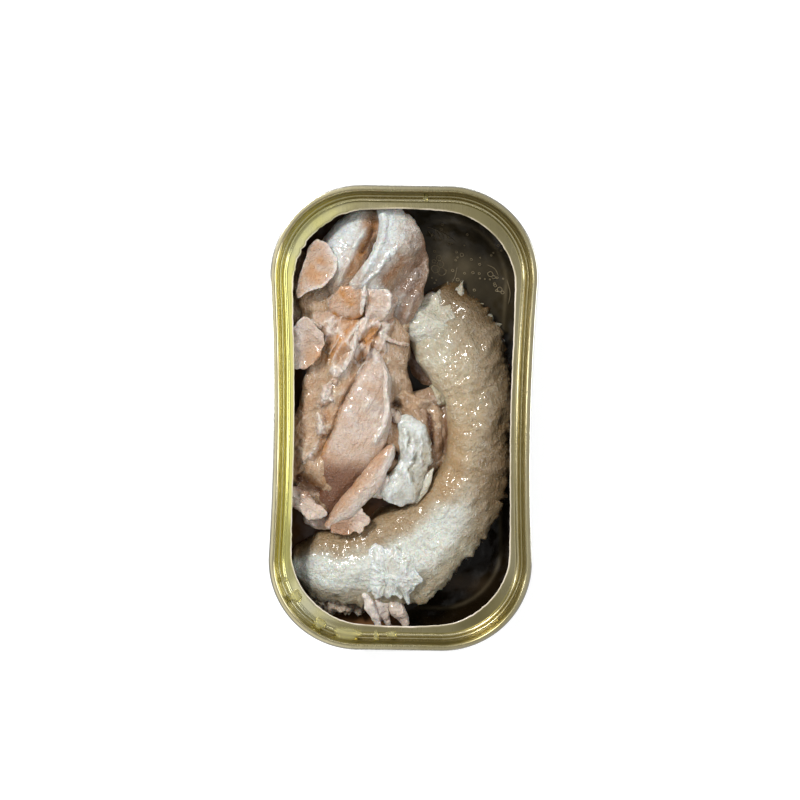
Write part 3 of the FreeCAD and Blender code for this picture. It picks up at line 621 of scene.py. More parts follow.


# ---------------------------------------------------------------- the fish


# Each mark is its line in plan, its width and lift in mm, and what it adds of white, warm, deep and wet. White
# on wet crests is partly painted highlight; deep in grooves, slits and hollows is painted shade.
MARKS = [
    # the upper lobes: the brown groove between them with painted shade in its floor, its teeth, and the wet line
    # and crests painted blue-white as painted highlights
    ([(-7, 46.5), (-7.6, 43.6), (-9.4, 39.6), (-11.4, 36),
     (-13.6, 31.5)], 1.5, -0.2, (-0.2, 0.7, 0, 0)),
    ([(-7, 43.8), (-8.2, 40.6), (-10.2, 37.6)], 0.6, -0.8, (0, 0.5, 0.6, 0)),
    ([(-8.6, 43.6), (-10.2, 41.2), (-11.6, 38.4)], 0.4, 0.4, (0.6, 0, 0, 0.8)),
    ([(-12, 37), (-13.6, 33.6), (-15, 30.6)], 0.5, 0.4, (0.5, 0, 0, 0.8)),
    ([(-8.6, 45.5), (-11.2, 41), (-13, 37), (-14.5, 33)], 1.5, 0.3, (0, 0.5, 0, 0)),
    ([(-11.1, 44.4), (-12.3, 42.5), (-13.4, 40)], 1.5, 0.35, (0.8, 0, 0, 1)),
    ([(-13.8, 44.5), (-16.2, 40), (-16.6, 36.4), (-14.6, 33.5)], 1.6, 0.1, (0.55, 0, 0, 0.4)),
    ([(-5, 47.6), (-4.7, 44.1), (-5.4, 39.6), (-7.6, 35.8), (-9.4, 33)], 0.9, 0.25, (0.85, 0, 0, 1)),
    ([(-3.6, 46.8), (-3, 43.6), (-3.8, 40)], 1.3, 0.1, (0.6, 0, 0, 0.7)),
    ([(-1.1, 39.3), (-2.2, 38.4), (-4.2, 36.8), (-6, 33.8), (-8, 32),
     (-9.2, 30.4)], 0.32, 0.4, (1, 0, 0, 1)),
    ([(0.4, 37.6), (-2.4, 34.4), (-5, 31.2)], 1.5, -0.3, (-0.3, 0.6, 0.2, 0)),
    ([(2.4, 44), (3.4, 39), (2.8, 33), (0, 28)], 2.4, -0.2, (0, 0.2, 0.42, 0)),
    ([(-0.6, 30), (-3, 26.4), (-4.4, 22.4)], 1, 0.3, (0.45, 0, 0, 1)),
    ([(3.4, 35), (1.6, 31), (-0.8, 27.4), (-2.2, 23.4)], 0.7, 0.5, (0.5, 0, 0, 1)),
    ([(3.6, 30), (1.6, 26.6), (0.4, 23)], 0.6, 0.45, (0.35, 0, 0, 1)),
    # the patches and folds below the lobes: white ridges partly painted highlight, slits and hollows darkened
    # with painted shade
    ([(-15.1, 29), (-12.6, 27.6), (-12.1, 25.4)], 2, 0, (0, 0.6, 0, 0.3)),
    ([(-9.2, 31.3), (-9.1, 27.2), (-9.5, 24.5)], 0.6, 0.35, (0.95, 0, 0, 1)),
    ([(-8, 29.9), (-4.4, 29.8), (-3.2, 28.6), (-2.9, 26.6), (-3.4, 23.9)], 0.5, 0.25, (0.9, 0, 0, 0.8)),
    ([(-8, 29), (-7.7, 26.3)], 0.6, 0, (0, 0.8, 0, 0)),
    ([(-16.7, 24.4), (-13.7, 22.4), (-11.9, 23.1)], 0.6, -0.4, (0, 0.6, 0.1, 0)),
    ([(-8.7, 23.6), (-10.9, 22.2), (-13.4, 20.1), (-15, 18)], 1.4, -0.15, (-0.1, 0.6, 0, 0.3)),
    ([(-8.2, 23.8), (-10.4, 21.5), (-12.3, 19)], 0.5, 0.35, (0.85, 0, 0, 0.6)),
    ([(-7.7, 22.3), (-8.9, 21.1), (-10.2, 19.5)], 1.5, 0.35, (0.6, 0, 0, 0.5)),
    ([(-6.1, 21.4), (-7.5, 18.6), (-9.3, 17)], 1.4, -0.4, (-0.6, 1, 0, 0.6)),
    ([(-10.5, 17.6), (-8.6, 17.9)], 0.4, -0.6, (0, 0.3, 0.7, 0)),
    ([(-5.2, 22.3), (-5.2, 18.6), (-6.5, 15.9)], 0.5, 0.45, (0.6, 0, 0, 0.6)),
    ([(-9.7, 15.6), (-9.5, 14.2), (-9.5, 12.6)], 0.8, -0.8, (0, 1, 0.35, 0.3)),
    ([(-4.3, 22.8), (-4.5, 18.6), (-4.2, 15.2)], 1, 0.3, (0.5, 0, 0, 1)),
    ([(-10.9, 19.7), (-11.3, 15.3), (-13.1, 12.3), (-13.8, 9.3)], 0.65, 0.55, (1, 0, 0, 1)),
    ([(-13.4, 18.1), (-16.4, 15.3), (-18, 12.3)], 2.6, 0, (-0.3, 0.75, 0, 0.2)),
    ([(-14.3, 12.3), (-15.2, 10.9), (-15.7, 9.3)], 1.5, 0.4, (0.7, 0, 0, 0.8)),
    ([(-12.7, 11.2), (-12.2, 9.3), (-12.4, 7.5)], 0.9, -0.2, (0.1, 0.7, 0, 0.3)),
    ([(-17.1, 7.4), (-17.7, 6), (-18.6, 4.4)], 0.9, 0.5, (0.8, 0, 0, 0.8)),
    # the main fillet and the ridge between it and the side one: white glossy ridges partly painted highlight,
    # painted shade in the valley and in the brown hollow at the lower left
    ([(-3, 14.3), (-3.9, 12.5), (-3.4, 9.5), (-4.1, 7)], 0.28, 0.3, (1, 0, 0, 1)),
    ([(-6.2, 13.6), (-6.9, 9.9), (-8, 6.7)], 2.2, 0, (0, 0.6, 0, 0.2)),
    ([(-6.5, 15.2), (-9.4, 11.2), (-12.2, 7), (-14.4, 2.4), (-16, -2),
     (-17.8, -6.4)], 0.5, -0.8, (0, 0.8, 0.25, 0)),
    ([(-8.2, 5.5), (-7.7, 4.1), (-7.9, 2.5)], 0.9, 0.3, (0.9, 0, 0, 1)),
    ([(-2.7, 10.9), (-3.2, 8.1), (-3.6, 5.4), (-3.1, 3.5), (-3.7, -0.2), (-4.9, -3),
     (-7.1, -6.2)], 0.75, 0.5, (0.95, 0, 0, 1)),
    ([(-18.8, 3.7), (-16.8, 4.7), (-15.4, 4)], 0.6, 0.4, (0.8, 0, 0, 0.7)),
    ([(-17.2, 2.5), (-18.1, 0.4), (-17.4, -1.4)], 1.1, -0.5, (0.1, 1, 0.05, 0)),
    ([(-19.5, 0.9), (-18.8, -1.4), (-19, -4.2)], 0.8, 0.5, (0.85, 0, 0, 0.7)),
    ([(-19.5, -5.2), (-20.4, -8), (-23.4, -9.9)], 0.7, 0.5, (0.7, 0, 0, 0.6)),
    ([(-18.1, -3.3), (-18.3, -6.6), (-19.9, -10.3)], 0.9, -0.6, (0, 0.9, 0.2, 0)),
    ([(-24.6, -12.8), (-22.5, -15.2), (-18.5, -17.4)], 2, -0.6, (-0.6, 0.1, 1, 0.3)),
    ([(-24, 3.1), (-24.4, -0.6), (-23.7, -5.2)], 1.4, 0.1, (0, 0.5, 0, 0.6)),
    # the brown flesh, slits darkened with painted shade, and nubs beside the centre chunk
    ([(-2, 4.2), (-1, 2.3)], 0.9, -2, (0, 0, 1, 0)),
    ([(-1.4, -8), (-0.9, -9.9)], 0.5, -1.5, (0, 0, 1, 0)),
    ([(-2.2, -12.2), (-2, -13.2)], 0.9, -0.2, (0, 1, 0, 0.3)),
    ([(3.6, 2.4), (5, 3.8), (7.4, 4.3), (9.3, 3)], 1, 0.5, (0.3, 0, 0, 0.5)),
    ([(1.3, 0.9), (2.8, -0.9), (3.7, -2.8)], 1.2, 0.3, (0.25, 0, 0, 0.3)),
    ([(6.3, 1.5), (6.8, -2.8), (7.1, -6.5)], 0.6, -0.8, (0, 0, 0.8, 0)),
    ([(10.3, -0.3), (10.8, -4.1), (9, -8.9)], 0.7, -0.3, (0, 0.6, 0.3, 0)),
    ([(8.1, -13.2), (9.1, -12.2), (10, -10.3)], 0.8, -0.3, (0, 0.9, 0.3, 0)),
    # the centre chunk's crinkled skin: white lines of skin with painted shadow beside them
    ([(1.2, -6.7), (2.6, -8.5), (2.2, -10.2), (0.8, -11.8), (0.6, -12.7), (1.7, -12.9),
     (2, -15.3)], 0.3, 0.35, (1, 0, 0, 1)),
    ([(2.4, -4.4), (2.8, -6.4), (2.4, -8)], 0.3, 0.3, (1, 0, 0, 1)),
    ([(2.1, -6.7), (3.4, -8.6), (3, -10.6), (1.7, -11.6), (1.6, -12.2), (2.6, -12.8),
     (2.9, -15.3)], 0.35, -0.4, (-0.3, 0.2, 0.5, 0)),
    ([(0.6, -2.6), (1.4, -4.6), (0.8, -7), (-0.2, -8.4)], 0.35, 0.35, (1, 0, 0, 1)),
    ([(3.6, -2.4), (4.6, -5), (4.2, -8.4), (4.8, -11)], 0.35, 0.3, (1, 0, 0, 1)),
    ([(1.4, -3), (2, -5), (1.4, -7)], 0.35, -0.35, (-0.3, 0.2, 0.4, 0)),
    ([(4.4, -5.4), (5.6, -9), (5, -13.4), (3, -17.4)], 0.9, -0.2, (0, 0.6, 0.1, 0)),
    ([(-0.4, -2), (-0.5, -6), (-1.2, -10.4), (-3.4, -14),
     (-4, -17.6)], 0.5, 0.2, (0.3, 0.35, 0, 0)),
]


def mark(points, up, tones, amount=1.0):
    """Lifts and paints points by every mark: e^-(gap / width)^2 of it, less at its ends, where faces turn up."""
    lifted = np.zeros(points.shape[:-1])
    xy = points[..., :2]
    facing = rise(up, 0.05, 0.45)
    for line, width, lift, adds in MARKS:
        low, high = np.min(line, 0) - 3 * width, np.max(line, 0) + 3 * width
        near = np.all((xy > low) & (xy < high), axis=-1)
        if not near.any():
            continue
        place = points[near]
        wander = 0.4 * width * np.stack([noise(place, 1.6, 71), noise(place, 1.6, 72)], -1)
        wander = wander + 0.22 * np.stack([noise(place, 0.6, 73), noise(place, 0.6, 74)], -1)
        gap, share = off_line(xy[near] + wander, line)
        fade = facing[near] * rise(share, -0.02, 0.1) * rise(1 - share, -0.02, 0.1)
        lifted[near] += 1.35 * amount * lift * bell(gap, width) * fade
        patchy = np.clip(0.85 + 0.4 * noise(place, 1.0, 75), 0, 1.1)
        strength = np.exp(-1.3 * (gap / width) ** 2) * fade * patchy
        tones[near] += strength[..., None] * np.array(adds)
    points[..., 2] += lifted


def section(square, around, flank):
    """The slab's section as three arrays: across (-1 to 1), the cap's drop (0 top, 1 flank) and the flank's.

    The cap is a rounded box: |cos|^p across and |sin|^p up, with p = 2 / square.
    """
    angle = np.concatenate([
        np.linspace(0, math.pi, around, endpoint=False),
        np.full(flank, math.pi),
        np.linspace(math.pi, 2 * math.pi, around // 3, endpoint=False),
        np.zeros(flank),
    ])
    power = 2 / square
    across, up = (np.sign(wave) * np.abs(wave) ** power for wave in (np.cos(angle), np.sin(angle)))
    down = np.linspace(0, 1, flank, endpoint=False)
    cap = 1 - up
    cap[around : around + flank] = 1
    cap[len(cap) - flank :] = 1
    return across, cap, np.concatenate([np.zeros(around), down, np.ones(around // 3), 1 - down])


def slab(stops, depth, square=2.4, step=0.4, around=90, cap=None, ends=(1.0, 1.0)):
    """Points of a closed slab along a path, with the distance along and the share across of each.

    Each stop is (x, y, width to the left, width to the right, top). Across the path lies the rounded section.
    Beyond each end it closes with the factor (1 - (d / r)^2)^0.5, with r the end's half width times ends.
    """
    rows, run = evenly(stops, step)
    reach = [end * (row[2] + row[3]) / 2 for end, row in zip(ends, (rows[0], rows[-1]))]
    tangent = np.gradient(rows[:, :2], axis=0)
    tangent /= np.linalg.norm(tangent, axis=1, keepdims=True)
    before = np.linspace(1, 0, max(4, int(reach[0] / step)) + 1)[:-1]
    after = np.linspace(0, 1, max(4, int(reach[1] / step)) + 1)[1:]
    first = np.repeat(rows[:1], len(before), 0)
    last = np.repeat(rows[-1:], len(after), 0)
    first[:, :2] -= before[:, None] * reach[0] * tangent[0]
    last[:, :2] += after[:, None] * reach[1] * tangent[-1]
    rows = np.vstack([first, rows, last])
    way = np.vstack([np.repeat(tangent[:1], len(before), 0), tangent, np.repeat(tangent[-1:], len(after), 0)])
    close = np.concatenate([1 - 0.999 * before**2, np.ones(len(run)), 1 - 0.999 * after**2]) ** 0.5
    along = np.concatenate([-before * reach[0], run, run[-1] + after * reach[1]])
    left = np.stack([-way[:, 1], way[:, 0]], 1)
    across, down, side = section(square, around, 0 if depth < 4 else 14)
    half = np.where(across[None] > 0, rows[:, 2:3], rows[:, 3:4]) * close[:, None]
    mean = (rows[:, 2] + rows[:, 3]) / 2
    height = np.minimum(depth / 2, 0.8 * mean if cap is None else np.minimum(cap, 1.2 * mean))
    top = rows[:, 4] - (1 - close) * height
    drop = height[:, None] * down[None] * (0.25 + 0.75 * close[:, None])
    drop = drop + np.maximum(depth - 2 * height, 0)[:, None] * side[None]
    plan = rows[:, None, :2] + (across[None] * half)[..., None] * left[:, None]
    points = at_height(plan, top[:, None] - drop)
    size = points.shape[:2]
    return points, np.broadcast_to(along[:, None], size), np.broadcast_to(across[None], size)


seeds = itertools.count(100, 13)


def fleshed(plain, turned, shape, lumps, fine, wet, base, amount):
    """Fish flesh over a plain closed shape: lumps and fine ones of a height and size, and the marks.

    turned is (edge, share): how far over a face leans before it gets painted shade, and by how much. Returns the
    closed grid, a colour for each of its vertices, and where each point lies on the plain shape.
    """
    seed = next(seeds)
    points, *places = plain(seed)
    normals = face_normals_out(points)
    tones = np.zeros((*points.shape[:2], 4))
    tones[..., :3] = base
    tones[..., WET] = wet
    out = lumps[0] * fractal(points, lumps[1], seed, 2) + fine[0] * fractal(points, fine[1], seed + 5, 3)
    points = points + normals * out[..., None]
    if shape:
        shape(points, normals, *places, tones, seed)
    up = face_normals_out(points)[..., 2]
    mark(points, up, tones, amount)
    # Faces that turn downwards get painted shade.
    tones[..., DEEP] += rise(-up, turned[0], 0.5) * turned[1]
    # All of it stays over the tin's floor and under the seam.
    points[..., 2] = np.clip(points[..., 2], 1.3, 23.9)
    flat = tones.reshape(-1, 4)
    return closed_grid(points), np.vstack([flat, flat[:1], flat[-1:]]), places


def make_piece(name, node, look, stops, depth, shape=None, lumps=(0.35, 3.4), fine=(0.12, 0.9), wet=0.35,
               base=(0, 0, 0), amount=1.0, slot=None, **form):
    """One piece of fish along a path, as a slab; its UV runs along the path and across it."""

    def plain(seed):
        return slab(stops, depth, **form)

    grid, tones, (along, spread) = fleshed(plain, (-0.3, 0.35), shape, lumps, fine, wet, base, amount)
    half_width = np.mean([stop[2] + stop[3] for stop in stops]) / 2
    uv = np.stack([spread * half_width * MM, along * MM], -1).reshape(-1, 2)
    add_mesh(name, *grid, look, node, tones, np.vstack([uv, uv[:1], uv[-1:]]), slot=slot)


pink_look = flesh("pink flesh", "pink_salmon", (238, 230, 222), (214, 198, 186), (200, 168, 142),
                  (202, 142, 78), (116, 68, 42))
tan_look = flesh("tan flesh", "brown_salmon", (236, 226, 212), (204, 176, 144), (180, 146, 110),
                 (190, 136, 82), (96, 60, 36))
pale_look = flesh("pale flesh", "pale_salmon", (230, 236, 230), (197, 189, 162), (176, 158, 126),
                  (180, 150, 110), (112, 88, 56), 0.8, 0.45)
skin_look = flesh("torn skin", "pale_salmon", (242, 248, 247), (214, 220, 216), (190, 188, 174),
                  (184, 168, 132), (136, 118, 90), 0.4, 0.4)
lobe_look = flesh("lobe flesh", "pale_salmon", (236, 246, 248), (196, 178, 154), (172, 138, 110),
                  (180, 122, 62), (108, 76, 58), 0.5)


def frayed(width, size):
    """A shape that frays a flake's edges: pushes them out and in by width mm, in tufts of a size."""

    def shape(points, normals, along, spread, tones, seed):
        edge = rise(np.abs(spread), 0.75, 1.0)
        push = width * fractal(points, size, seed + 40, 3) * edge
        points += normals * [1, 1, 0] * push[..., None]
        tones[..., WHITE] += 0.5 * edge * rise(normals[..., 2], -0.4, 0.6)

    return shape


def mound(outline, top, depth, edge, seed, square=2.5, ragged=(0.0, 1.5), pointed=False, step=0.36):
    """Points of a closed mound over an outline in plan, and how far out each lies (0 middle, 1 edge).

    Its top is top(x, y) - edge * (1 - (1 - r^square)^(1 / square)) over rings of share r. Then it goes down
    to top - depth and back to the middle. The outline is pushed in and out by ragged[0] mm of noise.
    """
    outline = np.asarray(outline, float)
    closed = np.vstack([outline, outline[:1]])
    lengths = np.hypot(*np.diff(closed, axis=0).T)
    around = max(40, int(lengths.sum() / step))
    at = np.linspace(0, len(outline), 40 * len(outline), endpoint=False)
    if pointed:
        fine = np.stack([np.interp(at, np.arange(len(closed)), column) for column in closed.T], 1)
    else:
        fine = catmull(np.vstack([outline[-2:], outline, outline[:3]]), at + 2)
    fine = np.vstack([fine, fine[:1]])
    run = np.concatenate([[0], np.cumsum(np.hypot(*np.diff(fine, axis=0).T))])
    even = np.linspace(0, run[-1], around, endpoint=False)
    rim = np.stack([np.interp(even, run, column) for column in fine.T], 1)
    middle = rim.mean(0)
    out = rim - middle
    size = np.hypot(*out.T)
    rough = ragged[0] * fractal(at_height(rim, seed * 3.7), ragged[1], seed, 3)
    rim = rim + out / size[:, None] * rough[:, None]

    def ring(share):
        return middle + share[:, None, None] * (rim - middle)[None]

    shares = np.sin(np.linspace(0.02, 1, max(8, int(size.mean() / step))) * math.pi / 2)
    plan = ring(shares)
    fall = edge * (1 - np.maximum(1 - shares**square, 0) ** (1 / square))
    upper = at_height(plan, top(plan[..., 0], plan[..., 1]) - fall[:, None])
    drop = np.linspace(0, 1, max(3, int((depth - edge) / 1.0)) + 1)[1:]
    foot_shares = 1 - 0.12 * drop**2
    low = upper[-1, :, 2][None] - drop[:, None] * (depth - edge)
    under_shares = np.array([0.7, 0.35, 0.02]) * foot_shares[-1]
    below = [at_height(ring(foot_shares), low), at_height(ring(under_shares), low[-1].mean())]
    points = np.concatenate([upper, *below])
    spread = np.concatenate([shares, np.ones(len(drop)), under_shares])
    return points, np.broadcast_to(spread[:, None], points.shape[:2])


def make_mound(name, node, look, outline, top, depth, edge, shape=None, lumps=(0.25, 3.0), fine=(0.1, 0.9),
               wet=0.35, base=(0, 0, 0), turn=0.0, amount=1.0, slot=None, **form):
    """One piece of fish laid out by its outline; top is a function of x and y; turn is its fibres' way."""

    def plain(seed):
        return mound(outline, top, depth, edge, seed, **form)

    grid, tones, _ = fleshed(plain, (-0.4, 0.4), shape, lumps, fine, wet, base, amount)
    angle = math.radians(turn)
    x, y = grid[0][:, 0], grid[0][:, 1]
    turned = [x * math.cos(angle) + y * math.sin(angle), y * math.cos(angle) - x * math.sin(angle)]
    uv = np.stack(turned, -1) * MM
    add_mesh(name, *grid, look, node, tones, uv, slot=slot)


def slope(height, x0, y0, by_x, by_y):
    """A sloping plane: height + by_x (x - x0) + by_y (y - y0)."""
    return lambda x, y: height + by_x * (x - x0) + by_y * (y - y0)


def make_fish():
    """Every flake and fillet, from the uppermost down."""
    pink, tan, pale, lobe = pink_look, tan_look, pale_look, lobe_look
    rag = frayed(0.55, 1.6)

    def leaf(points, normals, spread, tones, seed):
        inner = 1 - rise(spread, 0.35, 0.95)
        cloud = fractal(points, 3.0, seed, 2)
        tones[..., WARM] += (0.2 + 0.55 * inner) * rise(cloud, -0.6, 0.6)
        aslant = rise(points[..., 0] - 0.5 * points[..., 1], -39.5, -34.0)
        tones[..., WHITE] += 0.8 * rise(spread, 0.72, 0.96) * aslant
        tones[..., WHITE] += 0.5 * rise(spread, 0.8, 1.0)
        points[..., 2] += 0.5 * spread**3

    make_mound("leaf", "leaf_flake", pink, [(-20.6, 40.4), (-18.1, 39.8), (-16, 38.2), (-15.4, 35.7),
                (-15.8, 32.6), (-18.7, 30), (-21.2, 29.2), (-23.8, 27.6), (-24.6, 28.8), (-24.3, 31.1),
                (-22.7, 35.9)], slope(22.6, -20, 35, 0.04, 0.04), 1.2, 0.5, leaf, lumps=(0.14, 2.6),
               fine=(0.05, 0.8), square=5, ragged=(0.3, 2), base=(0.05, 0.15, 0), wet=0.4, step=0.26,
               turn=-30)

    def curled(points, normals, spread, tones, seed):
        low = rise(-points[..., 1], -18.0, -14.0) * rise(points[..., 0], -25.0, -21.5)
        tones[..., WARM] += 0.6 * low
        tones[..., WHITE] += 0.3 * rise(points[..., 0] + points[..., 1], -6.0, 0.5) * rise(spread, 0.6, 0.95)
        tones[..., WHITE] += 0.5 * rise(-points[..., 0], 21.8, 24.2)
        tones[..., DEEP] += 0.1
        tones[..., WARM] += 0.1 * rise(-spread, -0.8, -0.3)
        points[..., 2] += 0.8 * spread**3 - 0.7 * bell(points[..., 0] + 22.6, 1.6)

    make_mound("curl", "curled_flake", pink, [(-26.8, 19.6), (-25.1, 21.4), (-22.6, 23), (-20, 21.5),
                (-18.2, 18.2), (-18.6, 15.7), (-21.3, 11.8), (-24, 11.4), (-26.8, 12.6)],
               slope(22.8, -22, 17, 0.05, 0.06), 1.6, 0.7, curled, lumps=(0.35, 2.4), square=4,
               ragged=(0.35, 1.8), wet=0.5, step=0.28, base=(0.25, 0.1, 0))
    make_mound("patch_left", "fat_patch_left", pink, [(-17.2, 26.6), (-15.6, 29.4), (-13.2, 30.4),
                (-9.4, 30), (-9, 27.4), (-9.8, 23.9), (-13.2, 22.6), (-16.4, 23.6)],
               slope(22, -12, 26, 0.14, 0.2), 3.2, 1.4, lumps=(0.2, 2.2), fine=(0.08, 0.8), square=3,
               ragged=(0.4, 1.6), base=(0, 0.3, 0.04), wet=0.6, step=0.26)
    make_mound("patch_right", "fat_patch_right", pink, [(-8.6, 30), (-7.4, 29.9), (-6.4, 30.2), (-4.4, 30),
                (-2.9, 28.6), (-2.9, 27.2), (-2.9, 25.8), (-3.4, 24.6), (-4, 23.2), (-4.8, 22.6),
                (-5.8, 22.4), (-7.2, 23), (-8.6, 23.4), (-8.6, 26), (-9.2, 27.6)],
               slope(22.3, -5.6, 27, 0.03, 0.1), 2.4, 1, lumps=(0.4, 1.9), fine=(0.14, 0.8), square=3.2,
               ragged=(0.2, 1.6), base=(0.35, 0.1, 0), wet=0.7, step=0.22)

    fold = dict(around=44, lumps=(0.22, 1.3), fine=(0.08, 0.6), step=0.22, wet=0.9, ends=(1.5, 1.5))
    make_piece("fold_white", None, pink, [(-8.9, 31, 0.2, 0.2, 22.6), (-9, 29, 0.6, 0.5, 23.3),
                (-9.3, 26.6, 0.6, 0.6, 23.2), (-9.7, 24.2, 0.2, 0.2, 22.2)], 1.6, base=(0.85, 0, 0), **fold)
    make_piece("fold_glossy", None, pink, [(-10.7, 20.6, 0.3, 0.3, 21.8), (-11.1, 17.6, 0.6, 0.6, 22.8),
                (-11.9, 14.6, 0.7, 0.6, 22.7), (-13.3, 11.6, 0.3, 0.3, 21.9)], 1.6, base=(0.6, 0.05, 0),
               **fold)
    make_piece("fillet_ridge", None, pink, [(-4.4, 12, 0.2, 0.2, 21), (-3.9, 10, 0.5, 0.5, 21.8),
                (-4, 7, 0.6, 0.6, 21.9), (-3.7, 4.2, 0.8, 0.6, 21.9), (-3.6, 1.4, 0.7, 0.7, 21.9),
                (-4.5, -2, 0.8, 0.7, 21.8), (-5.9, -5, 0.6, 0.5, 21.7), (-7.2, -7.4, 0.2, 0.2, 21.2)], 2,
               base=(0.7, 0, 0), **fold)

    def roll(points, normals, along, spread, tones, seed):
        # The right side is white skin, brightest where it faces up as a painted highlight; the left side is
        # warmer and darker.
        white = (0.5 + 0.4 * rise(-along, -7, -3)) * rise(spread, -0.1, 0.5)
        tones[..., WHITE] += white * rise(normals[..., 2], -0.5, 0.3)
        tones[..., WET] += 0.6 * rise(spread, -0.25, 0.45)
        tones[..., WARM] += 0.4 * rise(-spread, -0.3, 0.5)
        tones[..., DEEP] += 0.2 * rise(-spread, 0.0, 0.9)

    make_piece("roll", "rolled_edge", pink, [(-2.7, -6.8, 1.2, 1, 21.4), (-4.3, -9.8, 2.3, 2.2, 22.2),
                (-7.2, -14.4, 2.7, 2.7, 22.5), (-10.8, -18.7, 2.7, 2.5, 22.4), (-14.6, -22.6, 2.1, 2, 21.6),
                (-16.8, -25, 1.3, 1.3, 20.8)], 3.6, roll, lumps=(0.3, 2.8), around=110, square=2.1, cap=1.9)

    def end_flake(points, normals, spread, tones, seed):
        points[..., 2] += 0.5 * spread**3
        tones[..., WHITE] += 0.3 * rise(points[..., 0], -23.0, -18.0)

    make_mound("pink_end", "pink_flake", pink, [(-27.2, -16.4), (-25.1, -16), (-22.3, -17.2),
                (-19.2, -19.8), (-17, -21.8), (-18.8, -23.6), (-22.2, -23.2), (-25, -21.2), (-27.2, -20.6)],
               slope(21.9, -22, -19, 0.03, 0), 2.4, 1.5, end_flake, lumps=(0.45, 2.4), square=2.4,
               ragged=(0.4, 1.6), base=(0.4, 0.25, 0), wet=0.7, step=0.26)

    def chip(points, normals, spread, tones, seed):
        across = rise(points[..., 0] + 0.8 * noise(points, 2.0, seed), -13.2, -9.6)
        tones[..., WHITE] += 0.6 * across
        tones[..., DEEP] += 0.35 * (1 - across)
        points[..., 2] += 0.5 * spread**3

    make_mound("chip", "chipped_flake", pink, [(-16.4, -25.2), (-15.4, -26.9), (-12.8, -27.4),
                (-10.6, -26.2), (-9.4, -26.6), (-7.4, -23.7), (-8.2, -22.4), (-9.8, -21), (-13, -20.6),
                (-15.4, -22.6)], slope(20.6, -12, -25, 0.04, 0.05), 1.2, 0.5, chip, lumps=(0.3, 2),
               square=4, ragged=(0.5, 1.6), base=(0, 0.45, 0.06), step=0.24, wet=0.5)
    make_piece("sliver", "white_sliver", pale, [(7.4, -11.6, 0.2, 0.2, 18.6), (6.2, -14, 0.9, 0.9, 19),
                (4.9, -16.8, 1.1, 0.9, 19), (3.6, -19.6, 0.3, 0.3, 18.6)], 1, lumps=(0.14, 1.2),
               base=(0.5, 0.15, 0), around=48, wet=0.8)

    def facets(points, normals, spread, tones, seed):
        x, y = points[..., 0], points[..., 1]
        bent = np.stack([0.87 * x - 0.5 * y, 0.18 * x + 0.32 * y, 0 * x], -1)
        crease = creases(bent, 2.4, seed + 3, 4, 0.55)
        up = rise(normals[..., 2], 0.0, 0.5)
        points[..., 2] += 0.4 * crease * up
        # The crests are painted white, partly painted highlight, and the creases get painted shade.
        tones[..., WHITE] += 0.75 * rise(crease, 0.35, 0.95)
        tones[..., WARM] += 0.25 * rise(-crease, -0.2, 0.5)
        tones[..., DEEP] += 0.08 * rise(-crease, -0.1, 0.6)

    make_mound("fold_l", "fold_left", pink, [(-21.4, 24.2), (-18, 24.8), (-13.6, 25), (-9.8, 22.4),
                (-10.6, 16.4), (-12.4, 11.2), (-15, 9), (-17, 12), (-18, 17.6), (-20.4, 20.6)],
               slope(21.4, -15, 18, 0.08, 0), 3.6, 2.4, facets, lumps=(0.5, 2.2), base=(0.15, 0.12, 0),
               wet=0.7, ragged=(0.5, 1.8), step=0.28)
    make_mound("fold_r", "fold_right", pink, [(-10.8, 22.6), (-8, 23.6), (-5.4, 22), (-6.6, 18.4),
                (-8.4, 14.6), (-10.2, 12), (-11.4, 15.6), (-11.2, 19.6)], slope(21.8, -9, 18, 0, 0.04), 3.4,
               1.8, facets, lumps=(0.4, 2), base=(0.1, 0.2, 0.03), wet=0.7, ragged=(0.4, 1.6), step=0.26)

    def crest_line(y):
        return -4.8 - 0.52 * np.clip(41.5 - y, 0, 20)

    def left_top(x, y):
        left = np.clip((-12.0 - 0.45 * (42 - y) - x) / 7.5, 0, 2)
        inward = x - crest_line(y) + 6.0
        groove = 1.9 * rise(inward, 0.0, 4.6) ** 1.3 * (0.3 + 0.7 * rise(y, 34, 41))
        return 22.7 - 2.6 * left**1.6 - 1.3 * rise(-y, -36, -28) - groove

    def left_lobe(points, normals, spread, tones, seed):
        x, y = points[..., 0], points[..., 1]
        away = crest_line(y) - x + 0.8 * noise(points, 3.0, seed)
        tones[..., WHITE] += 0.6 * rise(away, 3.4, 6.0) * rise(y, 30, 38)
        tones[..., WARM] += 0.3 * (1 - rise(away, 1.6, 4.6))

    make_mound("lobe_left", "upper_lobe_left", lobe, [(-6, 48.4), (-11.4, 48), (-15.6, 44.8), (-19.4, 41),
                (-18.8, 36), (-18.2, 31.5), (-16, 27.6), (-11.2, 28.6), (-9.9, 33), (-8.6, 36.5),
                (-6.8, 40.2), (-4.8, 43.8), (-3.4, 46.8)], left_top, 21, 2.6, left_lobe, lumps=(0.4, 4.5),
               base=(0.1, 0, 0), wet=0.6, turn=-30, ragged=(0.2, 2))

    def past_fold(x, y):
        return x - crest_line(y) - np.clip(1.3 + 0.4 * (y - 30.6), 0.9, 4.8)

    def right_top(x, y):
        crest = 0.7 * bell(x - crest_line(y), 0.9)
        beyond = past_fold(x, y)
        step = 0.3 * rise(beyond, -0.2, 0.7)
        return 22.9 + crest - step - 3.2 * np.clip(beyond / 7.0, 0, 1.15) ** 1.4 - 0.7 * rise(-y, -32, -25)

